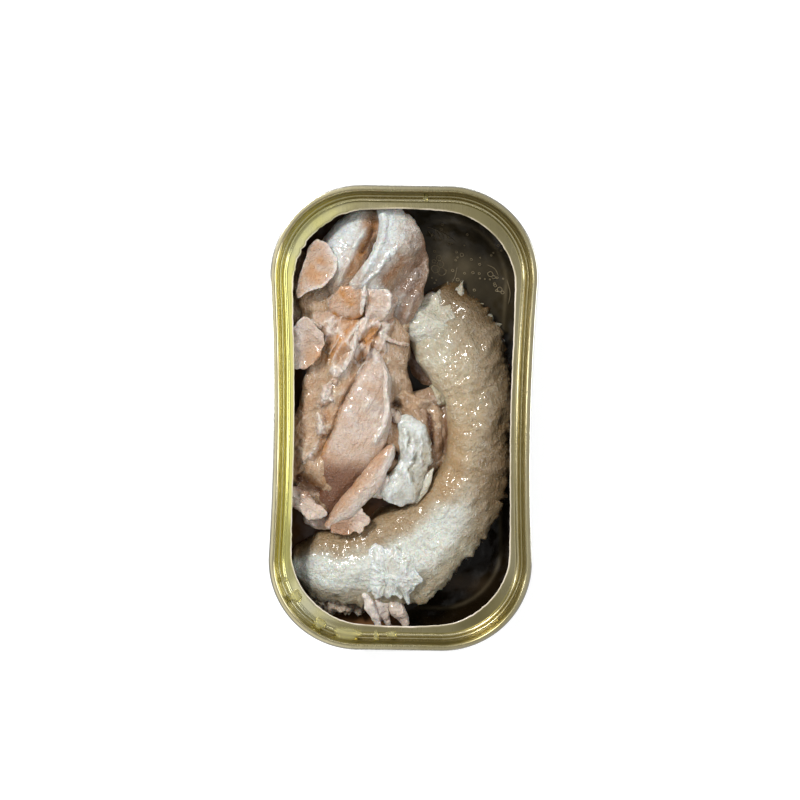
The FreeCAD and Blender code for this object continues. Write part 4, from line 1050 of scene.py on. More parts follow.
    def right_lobe(points, normals, spread, tones, seed):
        beyond = past_fold(points[..., 0], points[..., 1]) + 0.5 * noise(points, 2.0, seed)
        flank = rise(beyond, -0.5, 1.0)
        blotch = rise(fractal(points, 3.0, seed + 6, 3), -0.5, 0.6)
        upper = rise(points[..., 1], 29.0, 36.0)
        low = 0.14 * blotch + 0.35 * rise(-beyond, -6.0, -1.0)
        # The crest is painted white and wet, partly painted highlight; the flank falling away past the fold gets
        # painted shade.
        tones[..., WHITE] += (1 - flank) * (0.25 + 0.35 * blotch + 0.3 * upper) + flank * low
        tones[..., WARM] += 0.2 * flank * (1 - 0.6 * blotch) + 0.2 * (1 - upper) * (1 - flank)
        tones[..., DEEP] += 0.26 * flank * rise(beyond, 1, 7) + 0.15 * (1 - upper)
        tones[..., WET] += 0.5 * (1 - flank)

    make_mound("lobe_right", "upper_lobe_right", lobe, [(-6.2, 48.5), (-6.2, 44.5), (-6.8, 40.5),
                (-9, 36.5), (-11.2, 33), (-12.6, 30.4), (-9.6, 27.6), (-5, 22.4), (-0.2, 21.4), (3, 25),
                (4.8, 30.4), (5.6, 35.9), (4.4, 41.4), (2, 45.6), (-1.2, 48.6)], right_top, 21, 1.8,
               right_lobe, lumps=(0.35, 4), wet=0.6, turn=-30, square=4, ragged=(0.3, 1.4))

    def under(points, normals, spread, tones, seed):
        # Lower down, beneath the other pieces, it gets painted shade.
        tones[..., DEEP] += 0.25 * rise(-points[..., 2], -18.0, -14.0)
        tones[..., WARM] += 0.3 * rise(fractal(points, 4.0, seed + 2, 2), -0.3, 0.6)

    make_mound("under_flesh", None, tan, [(-9, 47), (-16.6, 42), (-18, 34), (-23.6, 27), (-24.6, 20),
                (-22, 14), (-20.4, 8), (-22.5, 0), (-24.6, -10), (-25, -20), (-19, -22.6), (-12, -19),
                (-7.4, -15.6), (-5, -18.6), (1, -19.6), (5.6, -17.6), (9.6, -11), (10.6, -3), (8, 3),
                (2.2, 5.6), (0, 10), (0.4, 19), (1.6, 24), (2, 36), (-1, 46)], slope(17, 0, 0, -0.1, 0.02),
               12, 2, under, lumps=(0.9, 2.6), fine=(0.2, 1), step=0.5, wet=0.7)
    make_mound("middle_folds", "folded_middle", pink, [(-17, 31), (-19, 25), (-20.2, 19), (-19.4, 13),
                (-15, 8), (-9, 9.6), (-4.6, 12.6), (-3.2, 18.4), (-1.6, 23.4), (-2.4, 29), (-9, 32)],
               slope(20.3, -10, 20, 0, 0.02), 17, 2.6, facets, lumps=(0.8, 3), base=(0, 0.28, 0.02),
               wet=0.7, fine=(0.16, 1), ragged=(0.4, 2.5))

    def fillet_top(x, y):
        return 21.8 - 4.2 * rise(-y, 4, 24) ** 1.5 - 0.3 * rise(y, 4, 15)

    def fillet(points, normals, spread, tones, seed):
        x, y = points[..., 0], points[..., 1]
        plain = spot(x, y, (-11.5, -1.0), (4.2, 7.5))
        rough = rise(x + 0.42 * y, -9.0, -4.0) + rise(y, 2, 12) * 0.5
        points[..., 2] += 0.22 * rough * fractal(points, 1.5, seed + 8, 3) * rise(normals[..., 2], 0, 0.5)
        tones[..., WHITE] += 0.15 * plain + 0.2 * rough * rise(fractal(points, 1.2, seed + 8, 2), -0.2, 0.7)
        # The lower part is painted warmer and darker: reddish flesh, with painted shade where it dips under the
        # roll.
        low = rise(-y - 0.45 * x - 0.8 * noise(points, 3.0, seed + 12), 10.5, 19.0)
        tones[..., WARM] += 0.35 * low
        tones[..., DEEP] += 0.8 * low * rise(-y, 7, 13) + 0.12 * rise(x + 0.42 * y, -7.0, -3.0)
        tones[..., WARM] += 0.25 * rise(y, 6.0, 14.0)
        tones[..., WHITE] += 0.65 * rise(y, 5.0, 12.0)

    make_mound("fillet", "main_fillet", pink, [(-7.4, 16.6), (-5, 14.6), (-2.9, 10.2), (-2.7, 6.5),
                (-2.5, 3), (-2.4, -0.8), (-3.4, -5), (-5.6, -9), (-8.8, -14.4), (-12.4, -19.2),
                (-16.4, -23.4), (-19.8, -20.6), (-20, -14), (-19.2, -9.9), (-18, -6), (-16, -1.4),
                (-14.6, 3), (-12, 7.6), (-9.4, 13.6)], fillet_top, 19, 2.4, fillet, lumps=(0.25, 4),
               fine=(0.07, 0.8), wet=0.5, base=(0.05, 0.05, 0), turn=-25, square=2.6)

    def side_shape(points, normals, spread, tones, seed):
        ridge = fractal(points, 1.9, seed + 4, 3)
        by_wall = rise(-points[..., 0], 19.0, 23.5)
        # Near the wall the flesh is painted paler and warmer, painted light against the shade that the wall
        # casts there; it also stands higher there.
        tones[..., WHITE] += 0.3 * rise(ridge, 0.25, 0.9) + 0.12 * by_wall
        tones[..., WARM] += 0.4 * rise(-ridge, 0.0, 0.8) + 0.4 * by_wall
        points[..., 2] += 0.8 * by_wall * rise(points[..., 1], -13, -8)
        points[..., 2] += 0.3 * ridge * rise(normals[..., 2], 0, 0.5)

    def side_top(x, y):
        return 20.6 - 4.4 * rise(-y, 10, 24) ** 1.3 - 0.7 * rise(-x, 22, 27)

    make_mound("side", "side_fillet", tan, [(-10, 18), (-14.6, 19.4), (-18.6, 17.2), (-21.4, 13),
                (-23.2, 8.6), (-24.4, 3.9), (-25.3, 0.6), (-26.9, -4), (-27.4, -10), (-27.2, -16),
                (-24, -20.6), (-18, -22.5), (-13.5, -16), (-12, -7), (-10, 0), (-8.4, 8)], side_top, 16,
               2.2, side_shape, lumps=(0.5, 3), fine=(0.14, 1), base=(0.1, 0.15, 0), wet=0.6, turn=-15,
               slot="pink_salmon")
    make_mound("grey", "grey_flake", tan, [(-13, 32.4), (-18, 32.2), (-23.4, 30), (-26.8, 26.4),
                (-27, 21.8), (-22, 21), (-17, 23.4), (-13.5, 26)], slope(18.8, -18, 27, 0.12, 0.04), 16,
               1.6, lumps=(0.3, 4), base=(0.2, 0, 0.06), wet=0.6, turn=60)
    make_mound("middle", "middle_flake", tan, [(-6, 24), (-2, 23.4), (0.6, 20.4), (1.6, 16.6), (1, 11),
                (2.2, 6.6), (1.2, 1), (-2.8, -1), (-4.8, 5), (-5.4, 12), (-6.6, 18)],
               slope(18.6, -2, 12, -0.12, 0.07), 15, 1.8, lumps=(0.5, 2.8), fine=(0.14, 0.9),
               base=(0.05, 0.1, 0.18), wet=0.8, slot="pale_salmon")

    def chunk(points, normals, spread, tones, seed):
        x, y = points[..., 0], points[..., 1]
        crinkle = fractal(points, 1.3, seed + 3, 3)
        skin = rise(0.3 * y + 6.6 - x + 1.4 * noise(points, 2.2, seed), -0.6, 1.6)
        curl = creases(points, 1.9, seed + 9, 3, 0.55)
        points[..., 2] += (0.2 * crinkle + 0.16 * curl) * (0.4 + 0.6 * skin) * rise(normals[..., 2], 0, 0.6)
        white = 0.45 * skin * (0.3 + 0.9 * rise(crinkle, -0.4, 0.5))
        tones[..., WHITE] += white * (1 - 0.4 * rise(spread, 0.8, 1.0))
        # Painted shade lies in the crinkles' troughs.
        tones[..., DEEP] += 0.22 * (1 - skin) + 0.22 * rise(-crinkle, 0.0, 0.8)
        tones[..., WET] += 0.4 * skin
        tones[..., WARM] += 0.2 * skin * rise(-curl, -0.1, 0.8)

    make_mound("chunk", "centre_chunk", skin_look, [(-0.8, 0.4), (1.3, 1), (4.1, -0.2), (6.2, -2.7),
                (7, -7.4), (6.4, -12.1), (4, -17.7), (1.6, -20.2), (-0.9, -20.6), (-3.7, -19.4),
                (-4.7, -17.1), (-3.3, -13.6), (-1, -9.6), (-0.8, -4.9)], slope(20, 1, -9, 0.02, -0.05), 17,
               1.8, chunk, lumps=(0.55, 3.4), wet=0.8, ragged=(0.4, 1.6), square=2.8, step=0.3)
    make_mound("red_meat", None, tan, [(-4.4, 0.6), (-2.4, 0.4), (0.6, -1), (1, -7), (-0.6, -11.2),
                (-3.2, -13), (-6, -12.2), (-5.4, -7.5), (-4.6, -4.2)], slope(18.6, -3, -6, -0.1, 0), 6, 1.4,
               lumps=(0.45, 2), base=(0, 0.35, 0.22), wet=0.7, ragged=(0.3, 1.6), step=0.3)
    make_mound("nub_under", None, pink, [(-8.6, -13.6), (-5.5, -12.2), (-3.2, -13.9), (-3, -17.3),
                (-4.6, -18.9), (-7.6, -18)], slope(20.4, -5, -15, 0.1, 0.1), 8, 1.6, lumps=(0.4, 1.6),
               base=(0.8, 0, 0), wet=0.8, ragged=(0.3, 1.6), step=0.3)
    make_mound("nub_side", None, pink, [(-2.9, 1.8), (-2, 2.3), (-0.9, 1.6), (-0.4, 0.4), (-0.8, -0.9),
                (-1.9, -0.7), (-2.8, 0.4)], lambda x, y: 19.5 + 0 * x, 2.6, 1.3, lumps=(0.3, 1),
               base=(0.35, 0.1, 0), wet=0.9, ragged=(0.35, 0.9), step=0.22)
    tips = dict(lumps=(0.4, 1.8), fine=(0.1, 0.7), around=60, step=0.26, wet=0.7, square=2.6)

    def skin_top(x, y):
        sunk = rise(-x, 4, 9)
        return 21.8 - 0.02 * (y + 34) ** 2 - 0.02 * (x + 2) ** 2 - sunk - 0.8 * rise(y, -33, -29)

    make_mound("flap", "torn_skin", skin_look, [(-9.4, -34.8), (-9, -37.4), (-7.4, -40.7), (-6.6, -40.2),
                (-5.7, -42.4), (-3.6, -41.2), (-2.7, -42), (-1.2, -41), (0.2, -42.4), (0.9, -41.6),
                (2.1, -44), (2.4, -41), (3.2, -40.2), (3.4, -39), (5.3, -38), (4.2, -36.4), (3.9, -35.4),
                (3.4, -34), (2.9, -32.4), (-1, -29.6), (-3.6, -30.4), (-5.9, -29), (-7.4, -31),
                (-9.1, -31.8)],
               skin_top,
               0.9, 0.35, torn, lumps=(0.35, 3.4), fine=(0.1, 0.7), base=(0.3, 0, 0), ragged=(0.4, 1.2),
               pointed=True, wet=0.8, step=0.24, square=5, turn=20)
    make_piece("end_pink", "tip_pink", pink, [(-7.8, -42, 0.8, 1, 19.6), (-6.9, -44.6, 1.1, 1.3, 20.2),
                (-5.7, -47.6, 1.1, 0.8, 19.6), (-4.6, -50.3, 0.15, 0.15, 18.8)], 2.6, base=(1, 0.1, 0),
               **tips)
    make_piece("end_tan", "tip_tan", pink, [(-5.2, -41.6, 1.9, 1.8, 18.6), (-4.2, -45, 1.9, 2.3, 18.2),
                (-3.2, -47.6, 0.8, 1.5, 17.4), (-2.2, -50, 0.15, 0.2, 16.6)], 4.6, base=(0.6, 0.05, 0),
               slot="brown_salmon", **tips)
    make_piece("end_pale", "tip_pale", pink, [(-1.6, -42.2, 1.6, 1.6, 18.2), (-0.2, -45.4, 1.4, 2.2, 18.2),
                (0.7, -48.2, 1.3, 0.8, 17.4), (1.6, -50.4, 0.15, 0.15, 16.8)], 3.8, base=(0.6, 0.05, 0),
               slot="pale_salmon", **tips)
    make_piece("red_flake", "brown_flake", tan, [(10.6, 3.6, 1.8, 1.8, 14.2), (10.2, -3.4, 2.6, 2.6, 15.3),
                (8.6, -10.6, 2.2, 2.2, 14.2)], 12, lumps=(0.35, 2.6), base=(0, 0.12, 0.5), wet=0.5)
    make_piece("brown_fold_top", "brown_fold", tan, [(9.6, 4.6, 1.6, 1.8, 14.6), (6, 4.2, 2.4, 2.8, 15.9),
                (2.4, 0.6, 3.2, 3.4, 15.8), (0.6, -3.4, 3, 3, 15)], 12, lumps=(0.5, 2.6),
               base=(0, 0.05, 0.38), wet=0.6)
    make_piece("red_fold", None, tan, [(4.6, 1.2, 1.4, 1.4, 16), (6.8, -3, 2.4, 2.4, 16.6),
                (7.6, -8.2, 2.2, 2.2, 16), (6.6, -13, 1.2, 1.2, 15)], 10, lumps=(0.45, 2.4),
               base=(0, 0.12, 0.45), wet=0.6)
    make_piece("nub_inner", "inner_nub", pale, [(7.6, 7.2, 0.8, 0.8, 14.4), (8.3, 5.7, 1.6, 1.5, 15.6),
                (9.4, 4, 1.2, 1.2, 15.4)], 8, rag, lumps=(0.35, 1.4), around=70, step=0.3)
    make_piece("nub_pale", "pale_nub", pink, [(-21.6, -23.8, 1.5, 1.6, 17), (-19.8, -24.8, 1.8, 1.8, 17.4),
                (-18, -25.6, 1.4, 1.4, 16.8)], 10, lumps=(0.25, 1.8), base=(0.25, 0.1, 0), around=70,
               slot="pale_salmon")
    # The sunken lump is painted dark, as painted shade in its hole.
    make_piece("lump", "sunken_lump", tan, [(2, 15.8, 2.8, 2.8, 9.9), (4.8, 11.4, 3.2, 3.2, 10.4),
                (7.6, 7.8, 2.2, 2.2, 9.6)], 8, lumps=(0.4, 3.2), base=(0, 0, 0.75), wet=0.8)
    make_piece("scrap_wall", "wall_scrap", tan, [(-25, 37.6, 1.6, 1.8, 14.8), (-26, 32.4, 1.7, 2.2, 15.6),
                (-26.2, 27.4, 1.6, 2.2, 14.8)], 12, lumps=(0.4, 2.6), base=(0, 0.1, 0.45), around=70)
    make_piece("scrap_tail", "tail_scrap", tan, [(-20.4, -42.2, 2, 2.4, 14.4),
                (-15.6, -44.8, 2.6, 2.8, 14.6), (-10.4, -45.6, 2, 2, 13.4)], 9, frayed(1.3, 1.1),
               lumps=(0.7, 1.3), fine=(0.25, 0.7), base=(0.5, 0, 0.1), around=90, wet=0.7)
    make_piece("tendon", None, pink, [(-5, 19.4, 1, 0.9, 20.4), (-3, 18.2, 0.5, 0.5, 20.2),
                (-1, 17.6, 0.4, 0.5, 19.6), (1, 17.2, 0.4, 0.5, 18.4)], 1.1, base=(0.3, 0.1, 0), around=40,
               lumps=(0.2, 1), step=0.22, wet=0.8)


def torn(points, normals, spread, tones, seed):
    """The torn skin's crinkles: sharp folds, as 1 - |noise|, whiter along their crests as a painted highlight on
    the white skin.
    """
    flat = points * np.array([1.0, 1.0, 0.0])
    drift = [noise(flat, 2.6, seed + 2), noise(flat, 2.6, seed + 4), 0 * points[..., 2]]
    bent = flat + 1.5 * np.stack(drift, -1)
    bent = np.stack([1.25 * bent[..., 0] + 0.3 * bent[..., 1], 0.7 * bent[..., 1], bent[..., 2]], -1)
    crease = creases(bent, 2.3, seed + 3, 4, 0.6)
    small = creases(bent, 1.0, seed + 6, 2)
    up = rise(normals[..., 2], 0.0, 0.5)
    points[..., 2] += (0.26 * crease + 0.15 * small) * up * (1 - 0.4 * spread)
    crests = 0.4 * rise(crease, 0.1, 0.95) + 0.25 * rise(small, 0.3, 1.0)
    tones[..., WHITE] += crests + 0.2 * rise(spread, 0.85, 1.0)
    tones[..., WARM] += 0.2 * rise(-crease, -0.2, 0.6)
    tones[..., WET] += 0.4


BELLY = [
    ((13.0, 31.2), (0.2, 21.4), 14.6),
    ((15.8, 28.8), (1.6, 18.4), 15.8),
    ((19.5, 24.4), (3.6, 13.6), 17.4),
    ((23.2, 17.5), (7.2, 7.6), 19.0),
    ((24.9, 8.0), (9.8, 3.2), 19.9),
    ((25.2, -3.0), (11.0, -3.4), 20.2),
    ((24.9, -11.5), (9.8, -11.0), 20.4),
    ((23.0, -21.5), (6.6, -16.4), 20.5),
    ((17.5, -30.0), (1.6, -21.0), 20.7),
    ((9.5, -39.5), (-2.8, -22.2), 20.8),
    ((1.0, -44.0), (-7.0, -23.8), 20.7),
    ((-9.8, -44.2), (-12.0, -26.4), 20.3),
    ((-19.4, -44.0), (-18.5, -27.8), 19.0),
    ((-24.8, -39.6), (-25.2, -31.0), 17.4),
]


def make_belly():
    """The long curved strip: a white fibrous top, a smooth tan inner side and a frayed outer edge.

    The path runs from the jelly down the right side and along the near end; its right hand is the inner side.
    """

    def strip(points, normals, along, spread, tones, seed):
        share = along / along.max()
        up = rise(normals[..., 2], 0.0, 0.5)
        # The tan side starts past the strip's first third and fades softly into the top.
        wave = 0.18 * fractal(points, 5.0, seed + 1, 3)
        tan_side = rise(-spread + wave, 0.08, 0.74) * rise(share, 0.24, 0.42)
        points[..., 2] -= tan_side * 0.5
        # Fine tufts lie across the strip.
        fibres = np.stack([spread * 3.4, along / 0.9, points[..., 2] * 0.0], -1)
        rib = fractal(fibres, 1.6, seed + 7, 3)
        drift = 0.5 * noise(points, 3.0, seed + 14)
        wisps = np.stack([spread * 3.6 + drift, along / 1.1 + 1.5 * drift, points[..., 2] * 0], -1)
        tuft = creases(wisps, 2.1, seed + 15, 4, 0.6)
        points[..., 2] += (0.05 * rib + 0.14 * tuft) * up * (1 - 0.8 * tan_side)
        outer = rise(spread, 0.62, 1.0)
        track = np.stack([along, points[..., 2] * 0.35, along * 0], -1)
        ragged = np.abs(noise(track, 1.5, seed + 9)) ** 1.5
        ragged = ragged + 0.6 * np.abs(noise(track, 0.6, seed + 11)) ** 1.2
        points += normals * [1, 1, 0] * (outer * 1.2 * ragged)[..., None]
        # White along the top, tan to the outer side of the upper half, whitest along the near end; painted shade
        # greys the outer side and the lower parts.
        low = rise(share, 0.43, 0.62)
        crest = rise(spread, -0.75, -0.1) * rise(-spread + 0.2 * low, -0.55, 0.15)
        cloud = fractal(points, 6.0, seed + 21, 3)
        head = bell(share - 0.09, 0.07) * rise(-spread, -0.35, 0.35)
        white = crest * (0.05 + low) * rise(cloud, -1.0, 0.0) + 0.6 * low * rise(-spread, -0.95, -0.1)
        tan_top = rise(0.05 - share, -0.05, 0.04)
        tones[..., WHITE] += (1 - tan_side) * (white + 0.15 * head) + 0.14 * rise(tuft, 0.3, 0.95)
        late = rise(share, 0.24, 0.4) * (1 - low)
        warmth = 0.28 * (1 - low) + 0.28 * late + 0.14 * rise(-cloud, 0, 0.8)
        tones[..., WARM] += 0.8 * tan_side + warmth * (1 - head)
        # Painted shade towards the outer side and lower down towards the jelly.
        shade = rise(spread, -0.5, 0.9) * (0.72 - 0.58 * low) + 0.3 * tan_side * (0.2 + 0.9 * low)
        sunk = 0.3 * rise(16.5 - points[..., 2], 0, 6)
        tones[..., DEEP] += shade + 0.08 * late + sunk + 0.1 * tan_top
        tones[..., WET] += (0.1 + 0.25 * low) * (1 - tan_side) - 0.3 * tan_side

    stops = []
    for outer, inner, top in BELLY:
        half = math.dist(outer, inner) / 2
        stops.append(((outer[0] + inner[0]) / 2, (outer[1] + inner[1]) / 2, half, half, top))
    make_piece("belly", "belly_strip", pale_look, stops, 19, strip, lumps=(0.65, 5), fine=(0.1, 0.9),
               around=190, step=0.36, square=2.2, cap=5, wet=0.15, ends=(0.3, 0.4), amount=0)


def make_crown():
    """The strip's upper end: a thin torn edge with broad teeth, sinking into the jelly."""

    def teeth(points, normals, spread, tones, seed):
        outside = rise(0.45 * points[..., 0] + 0.9 * points[..., 1], 23.0, 31.0)
        tones[..., WHITE] += 0.3 * (1 - outside) * rise(fractal(points, 2.5, seed, 3), -0.6, 0.3) + 0.1
        tones[..., WARM] += 0.08 * outside
        # The right side gets a little painted shade, as the strip's outer side does.
        tones[..., DEEP] += 0.06 * rise(points[..., 0], 10.0, 18.0)

    def end_top(x, y):
        out = 0.45 * x + 0.9 * y
        return 16.8 - 0.45 * np.maximum(out - 24.0, 0) - 0.5 * np.maximum(20.0 - out, 0)

    make_mound("strip_end", None, pale_look, [(-0.9, 23.6), (0.8, 24.4), (2.2, 25.8), (3.4, 26.6),
                (4.6, 28.2), (6.2, 29.2), (7.6, 29.8), (8.6, 31), (9.8, 30.9), (10.3, 32.6), (11, 31),
                (12.6, 31), (14.2, 33), (14.4, 29.8), (16, 28.6), (17.6, 27.2), (18.9, 27.4), (19.2, 25.4),
                (20.6, 24.6), (21.2, 22.8), (23.4, 22.4), (22.7, 20), (23.8, 18.4), (20, 12), (12, 10),
                (6, 13), (1.8, 18), (-0.6, 21.6)], end_top, 4, 1.2, teeth, lumps=(0.5, 2.6),
               fine=(0.18, 0.9), base=(0.25, 0.1, 0), ragged=(0.3, 1.2), pointed=True, wet=0.5, step=0.28,
               square=2.6, turn=45)


def make_ridges():
    """Broken ridges of paler flesh that stand up along the seam between the main and the side fillet."""
    ridges = [[(-13.6, 14.4, 20.6), (-14.2, 12.6, 21.4), (-15.3, 9.8, 21.2), (-15.9, 8.2, 20.4)],
              [(-16.6, 8.6, 20.4), (-17.4, 6.6, 21.2), (-18.6, 3.8, 21.1), (-18.8, 2.4, 20.4)],
              [(-18.9, 1.6, 20.4), (-18.8, -0.8, 21.1), (-19.0, -3.6, 20.9), (-19.6, -5.0, 20.2)],
              [(-19.8, -5.4, 20.2), (-20.4, -7.4, 20.8), (-22.0, -9.4, 20.8), (-23.6, -10.2, 20.0)],
              [(-15.2, 4.6, 20.4), (-16.4, 4.8, 21.0), (-18.2, 4.0, 21.0), (-19.4, 2.6, 20.2)]]
    widths = (0.3, 1.0, 1.1, 0.3)
    for number, line in enumerate(ridges):
        stops = [(x, y, width, width, top) for (x, y, top), width in zip(line, widths)]
        make_piece(f"side_ridge_{number + 1}", None, pink_look, stops, 2.4, around=60, lumps=(0.55, 1.2),
                   fine=(0.16, 0.6), step=0.22, wet=0.9, ends=(1.2, 1.2), base=(0.12, 0.15, 0))


def bent_tubes(name, lines, radius, look, tone):
    """Round threads along open polylines, thinned to their ends: r = radius (1 - |2t - 1|^4), in one mesh."""
    sides = 10
    vertices, quads, caps, start = [], [], [], 0
    angle = np.linspace(0, 2 * math.pi, sides, endpoint=False)
    for line in lines:
        rows, run = evenly(line, 0.2)
        way = np.gradient(rows, axis=0)
        way /= np.linalg.norm(way, axis=1, keepdims=True)
        across = np.stack([-way[:, 1], way[:, 0], 0 * way[:, 0]], 1)
        upward = np.cross(way, across)
        thin = radius * (1.001 - np.abs(2 * run / run[-1] - 1) ** 4)
        ring = np.cos(angle)[None, :, None] * across[:, None] + np.sin(angle)[None, :, None] * upward[:, None]
        points = rows[:, None] + ring * thin[:, None, None]
        index = start + np.arange(points.shape[0] * sides).reshape(-1, sides)
        quads.append(row_quads(index[:-1], index[1:])[:, ::-1])
        for loop, turned in ((index[0], 1), (index[-1], -1)):
            fan = np.stack([np.full(sides - 2, loop[0]), loop[1:-1], loop[2:]], -1)
            caps.append(fan if turned == 1 else fan[:, [0, 2, 1]])
        vertices.append(points.reshape(-1, 3))
        start += points.shape[0] * sides
    vertices = np.vstack(vertices)
    add_mesh(name, vertices, np.vstack(quads), np.vstack(caps), look, None, tone, vertices[:, :2] * MM)


def make_bubbles():
    """Air bubbles caught at the jelly's skin, seen as thin rims painted pale as painted highlights, and a few
    fine crinkles beside them, painted pale in the same way.
    """
    chance = np.random.default_rng(11)
    bubbles = [(8.6, 36.6, 0.75), (7.4, 35.4, 0.9), (8.9, 34.8, 0.95), (8.2, 38.0, 0.6), (7.0, 37.2, 0.4),
               (20.6, 34.3, 0.6), (21.4, 33.6, 0.4), (22.9, 30.7, 0.55), (23.6, 30.0, 0.35),
               (13.7, 38.8, 0.4), (12.8, 32.9, 0.35), (21.8, 31.6, 0.3), (16.4, 34.6, 0.28),
               (18.0, 36.6, 0.25), (10.6, 41.4, 0.3)]
    bubbles += [(x, y, 0.12 + 0.16 * chance.random()) for x, y in chance.uniform((6, 30), (24, 46), (40, 2))]
    turn = np.linspace(0, 2 * math.pi, 28, endpoint=False)[None, :, None]
    angle = np.linspace(0, 2 * math.pi, 8, endpoint=False)[None, None]
    x0, y0, radius = np.array(bubbles).T[:, :, None, None]
    thick = 0.08 + 0.04 * radius
    out = radius + thick * np.cos(angle)
    squash = 1 + 0.12 * np.cos(2 * turn + 1.0)
    x = x0 + out * squash * np.cos(turn)
    y = y0 + out * np.sin(turn)
    z = JELLY + 0.22 + thick * np.sin(angle) + 0 * x
    index = np.arange(x.size).reshape(x.shape)
    after = np.roll(index, -1, 1)
    quads = np.stack([index, after, np.roll(after, -1, 2), np.roll(index, -1, 2)], -1)
    points = np.stack([x, y, z], -1).reshape(-1, 3)
    add_mesh("bubbles", points, quads, [], jelly_look, tones=(0.8, 0, 0, 0))
    crinkles = [[(5.0, 45.4), (7.6, 44.6), (10.0, 43.4), (12.6, 41.6)],
                [(6.4, 44.0), (7.2, 43.0), (7.4, 42.2)],
                [(7.6, 44.2), (8.2, 43.2), (8.3, 42.2)], [(8.6, 44.0), (9.2, 43.0), (9.2, 42.2)],
                [(5.4, 44.4), (6.2, 43.6), (6.4, 42.8)], [(24.4, 33.6), (25.4, 30.0), (25.0, 27.0)],
                [(19.6, 36.6), (21.6, 35.6), (22.6, 33.8)], [(10.4, 30.8), (12.0, 33.2), (12.6, 36.0)]]
    lines = [[(x, y, JELLY + 0.2) for x, y in line] for line in crinkles]
    bent_tubes("jelly_crinkles", lines, 0.13, jelly_look, (0.55, 0, 0, 0))


def make_drops():
    """Juice on the rim's lower left: clear lenses in the groove, z = h (1 - r^3)^0.5 over a wavy oval."""
    clear = Finish("clear juice", Base_Color=paint(232, 226, 170), Transmission_Weight=0.7, Roughness=0.03,
                   IOR=1.34)
    floor, foot, height = 24.4, 24.5, 1.3
    share = np.sin(np.linspace(0.05, 1, 10) * math.pi / 2)
    angle = np.linspace(0, 2 * math.pi, 36, endpoint=False)
    # Each drop is its middle, length, width and turn in degrees.
    drops = [(-23.9, -40.9, 3.0, 2.3, 49), (-18.3, -47.2, 3.0, 1.9, 28), (-11.9, -49.5, 6.6, 2.5, 3),
             (-5.3, -49.8, 1.2, 2.0, 0), (-1.7, -49.4, 2.8, 1.1, 0), (-26.3, -37.0, 1.3, 0.9, 60),
             (4.6, 49.9, 1.1, 1.3, 0)]
    vertices, quads, triangles, start = [], [], [], 0
    for x, y, length, width, turn in drops:
        turn = math.radians(-turn)
        wave = 1 + 0.1 * np.sin(3 * angle + x) + 0.06 * np.sin(5 * angle + y)
        u = length * 0.5 * np.cos(angle) * wave
        v = width * 0.5 * np.sin(angle) * wave * 1.25
        rim = np.stack([u * math.cos(turn) - v * math.sin(turn), u * math.sin(turn) + v * math.cos(turn)], 1)
        plan = np.array([x, y]) + share[:, None, None] * rim[None]
        dome = foot + height * np.sqrt(np.maximum(1 - share**3, 0))
        lens = np.concatenate([at_height(plan, dome[:, None]), at_height(plan[::-1], floor)])
        block, sides, fans = closed_grid(lens)
        vertices.append(block)
        quads.append(sides + start)
        triangles.append(fans + start)
        start += len(block)
    add_mesh("juice_drops", np.vstack(vertices), np.vstack(quads), np.vstack(triangles), clear)


def make_spikes():
    """Torn fibre ends along the strip's outer edge and upper end: thin pyramids on four foot points each."""
    chance = np.random.default_rng(7)
    edge = [(18.4, 25.4), (21.6, 20.4), (23.8, 15.0), (25.0, 8.0), (25.3, -2.0), (24.8, -11.5), (23.2, -20.5),
            (18.6, -28.6), (13.4, -35.2), (9.0, -40.0), (3.0, -43.4)]
    count = 260
    rows, _ = evenly(edge, 0.2)
    picks = np.sort(chance.integers(1, len(rows) - 1, count))
    place = rows[picks]
    tangent = rows[picks + 1] - rows[picks - 1]
    tangent /= np.hypot(*tangent.T)[:, None]
    out = np.stack([-tangent[:, 1], tangent[:, 0]], 1)
    way = out + tangent * chance.normal(0.0, 0.5, count)[:, None]
    way /= np.hypot(*way.T)[:, None]
    length = 0.2 + 1.5 * chance.random(count) ** 3
    height = 16.8 - 4.5 * chance.random(count)
    upper = np.arange(count) < count * 0.2
    height = np.where(upper, height - 2.0, height)
    foot = at_height(place - out * (1.4 + chance.random((count, 1))), height)
    tip = at_height(place + way * length[:, None], height - 0.3 - 0.5 * chance.random(count))
    across = at_height(np.stack([-way[:, 1], way[:, 0]], 1), 0.0)
    wide = (0.3 + 0.5 * chance.random((count, 1))) * (0.7 + 0.5 * length[:, None])
    thick = np.array([[0, 0, 1.0]]) * (0.12 + 0.1 * chance.random((count, 1)))
    vertices = np.stack([foot + across * wide, foot + thick, foot - across * wide, foot - thick, tip], 1)
    start = np.arange(count)[:, None] * 5
    sides = np.array([[0, 1, 4], [1, 2, 4], [2, 3, 4], [3, 0, 4]])
    triangles = (start[:, None] + sides[None]).reshape(-1, 3)
    quads = start + np.array([[3, 2, 1, 0]])
    a, b, c = (vertices[:, corner] - vertices[:, 4] for corner in range(3))
    if np.sum(a * np.cross(b, c)) > 0:
        triangles = triangles[:, ::-1]
        quads = quads[:, ::-1]
    points = vertices.reshape(-1, 3)
    tone = (0.15, 0.1, 0.22, 0.3)
    add_mesh("fibre_ends", points, quads, triangles, pale_look, None, tone, points[:, :2] * MM, smooth=False)


make_rim()
make_body()
make_jelly()
make_fish()
make_belly()
make_crown()
make_ridges()
make_spikes()
make_bubbles()
make_drops()


# ---------------------------------------------------------------- floor, light and camera


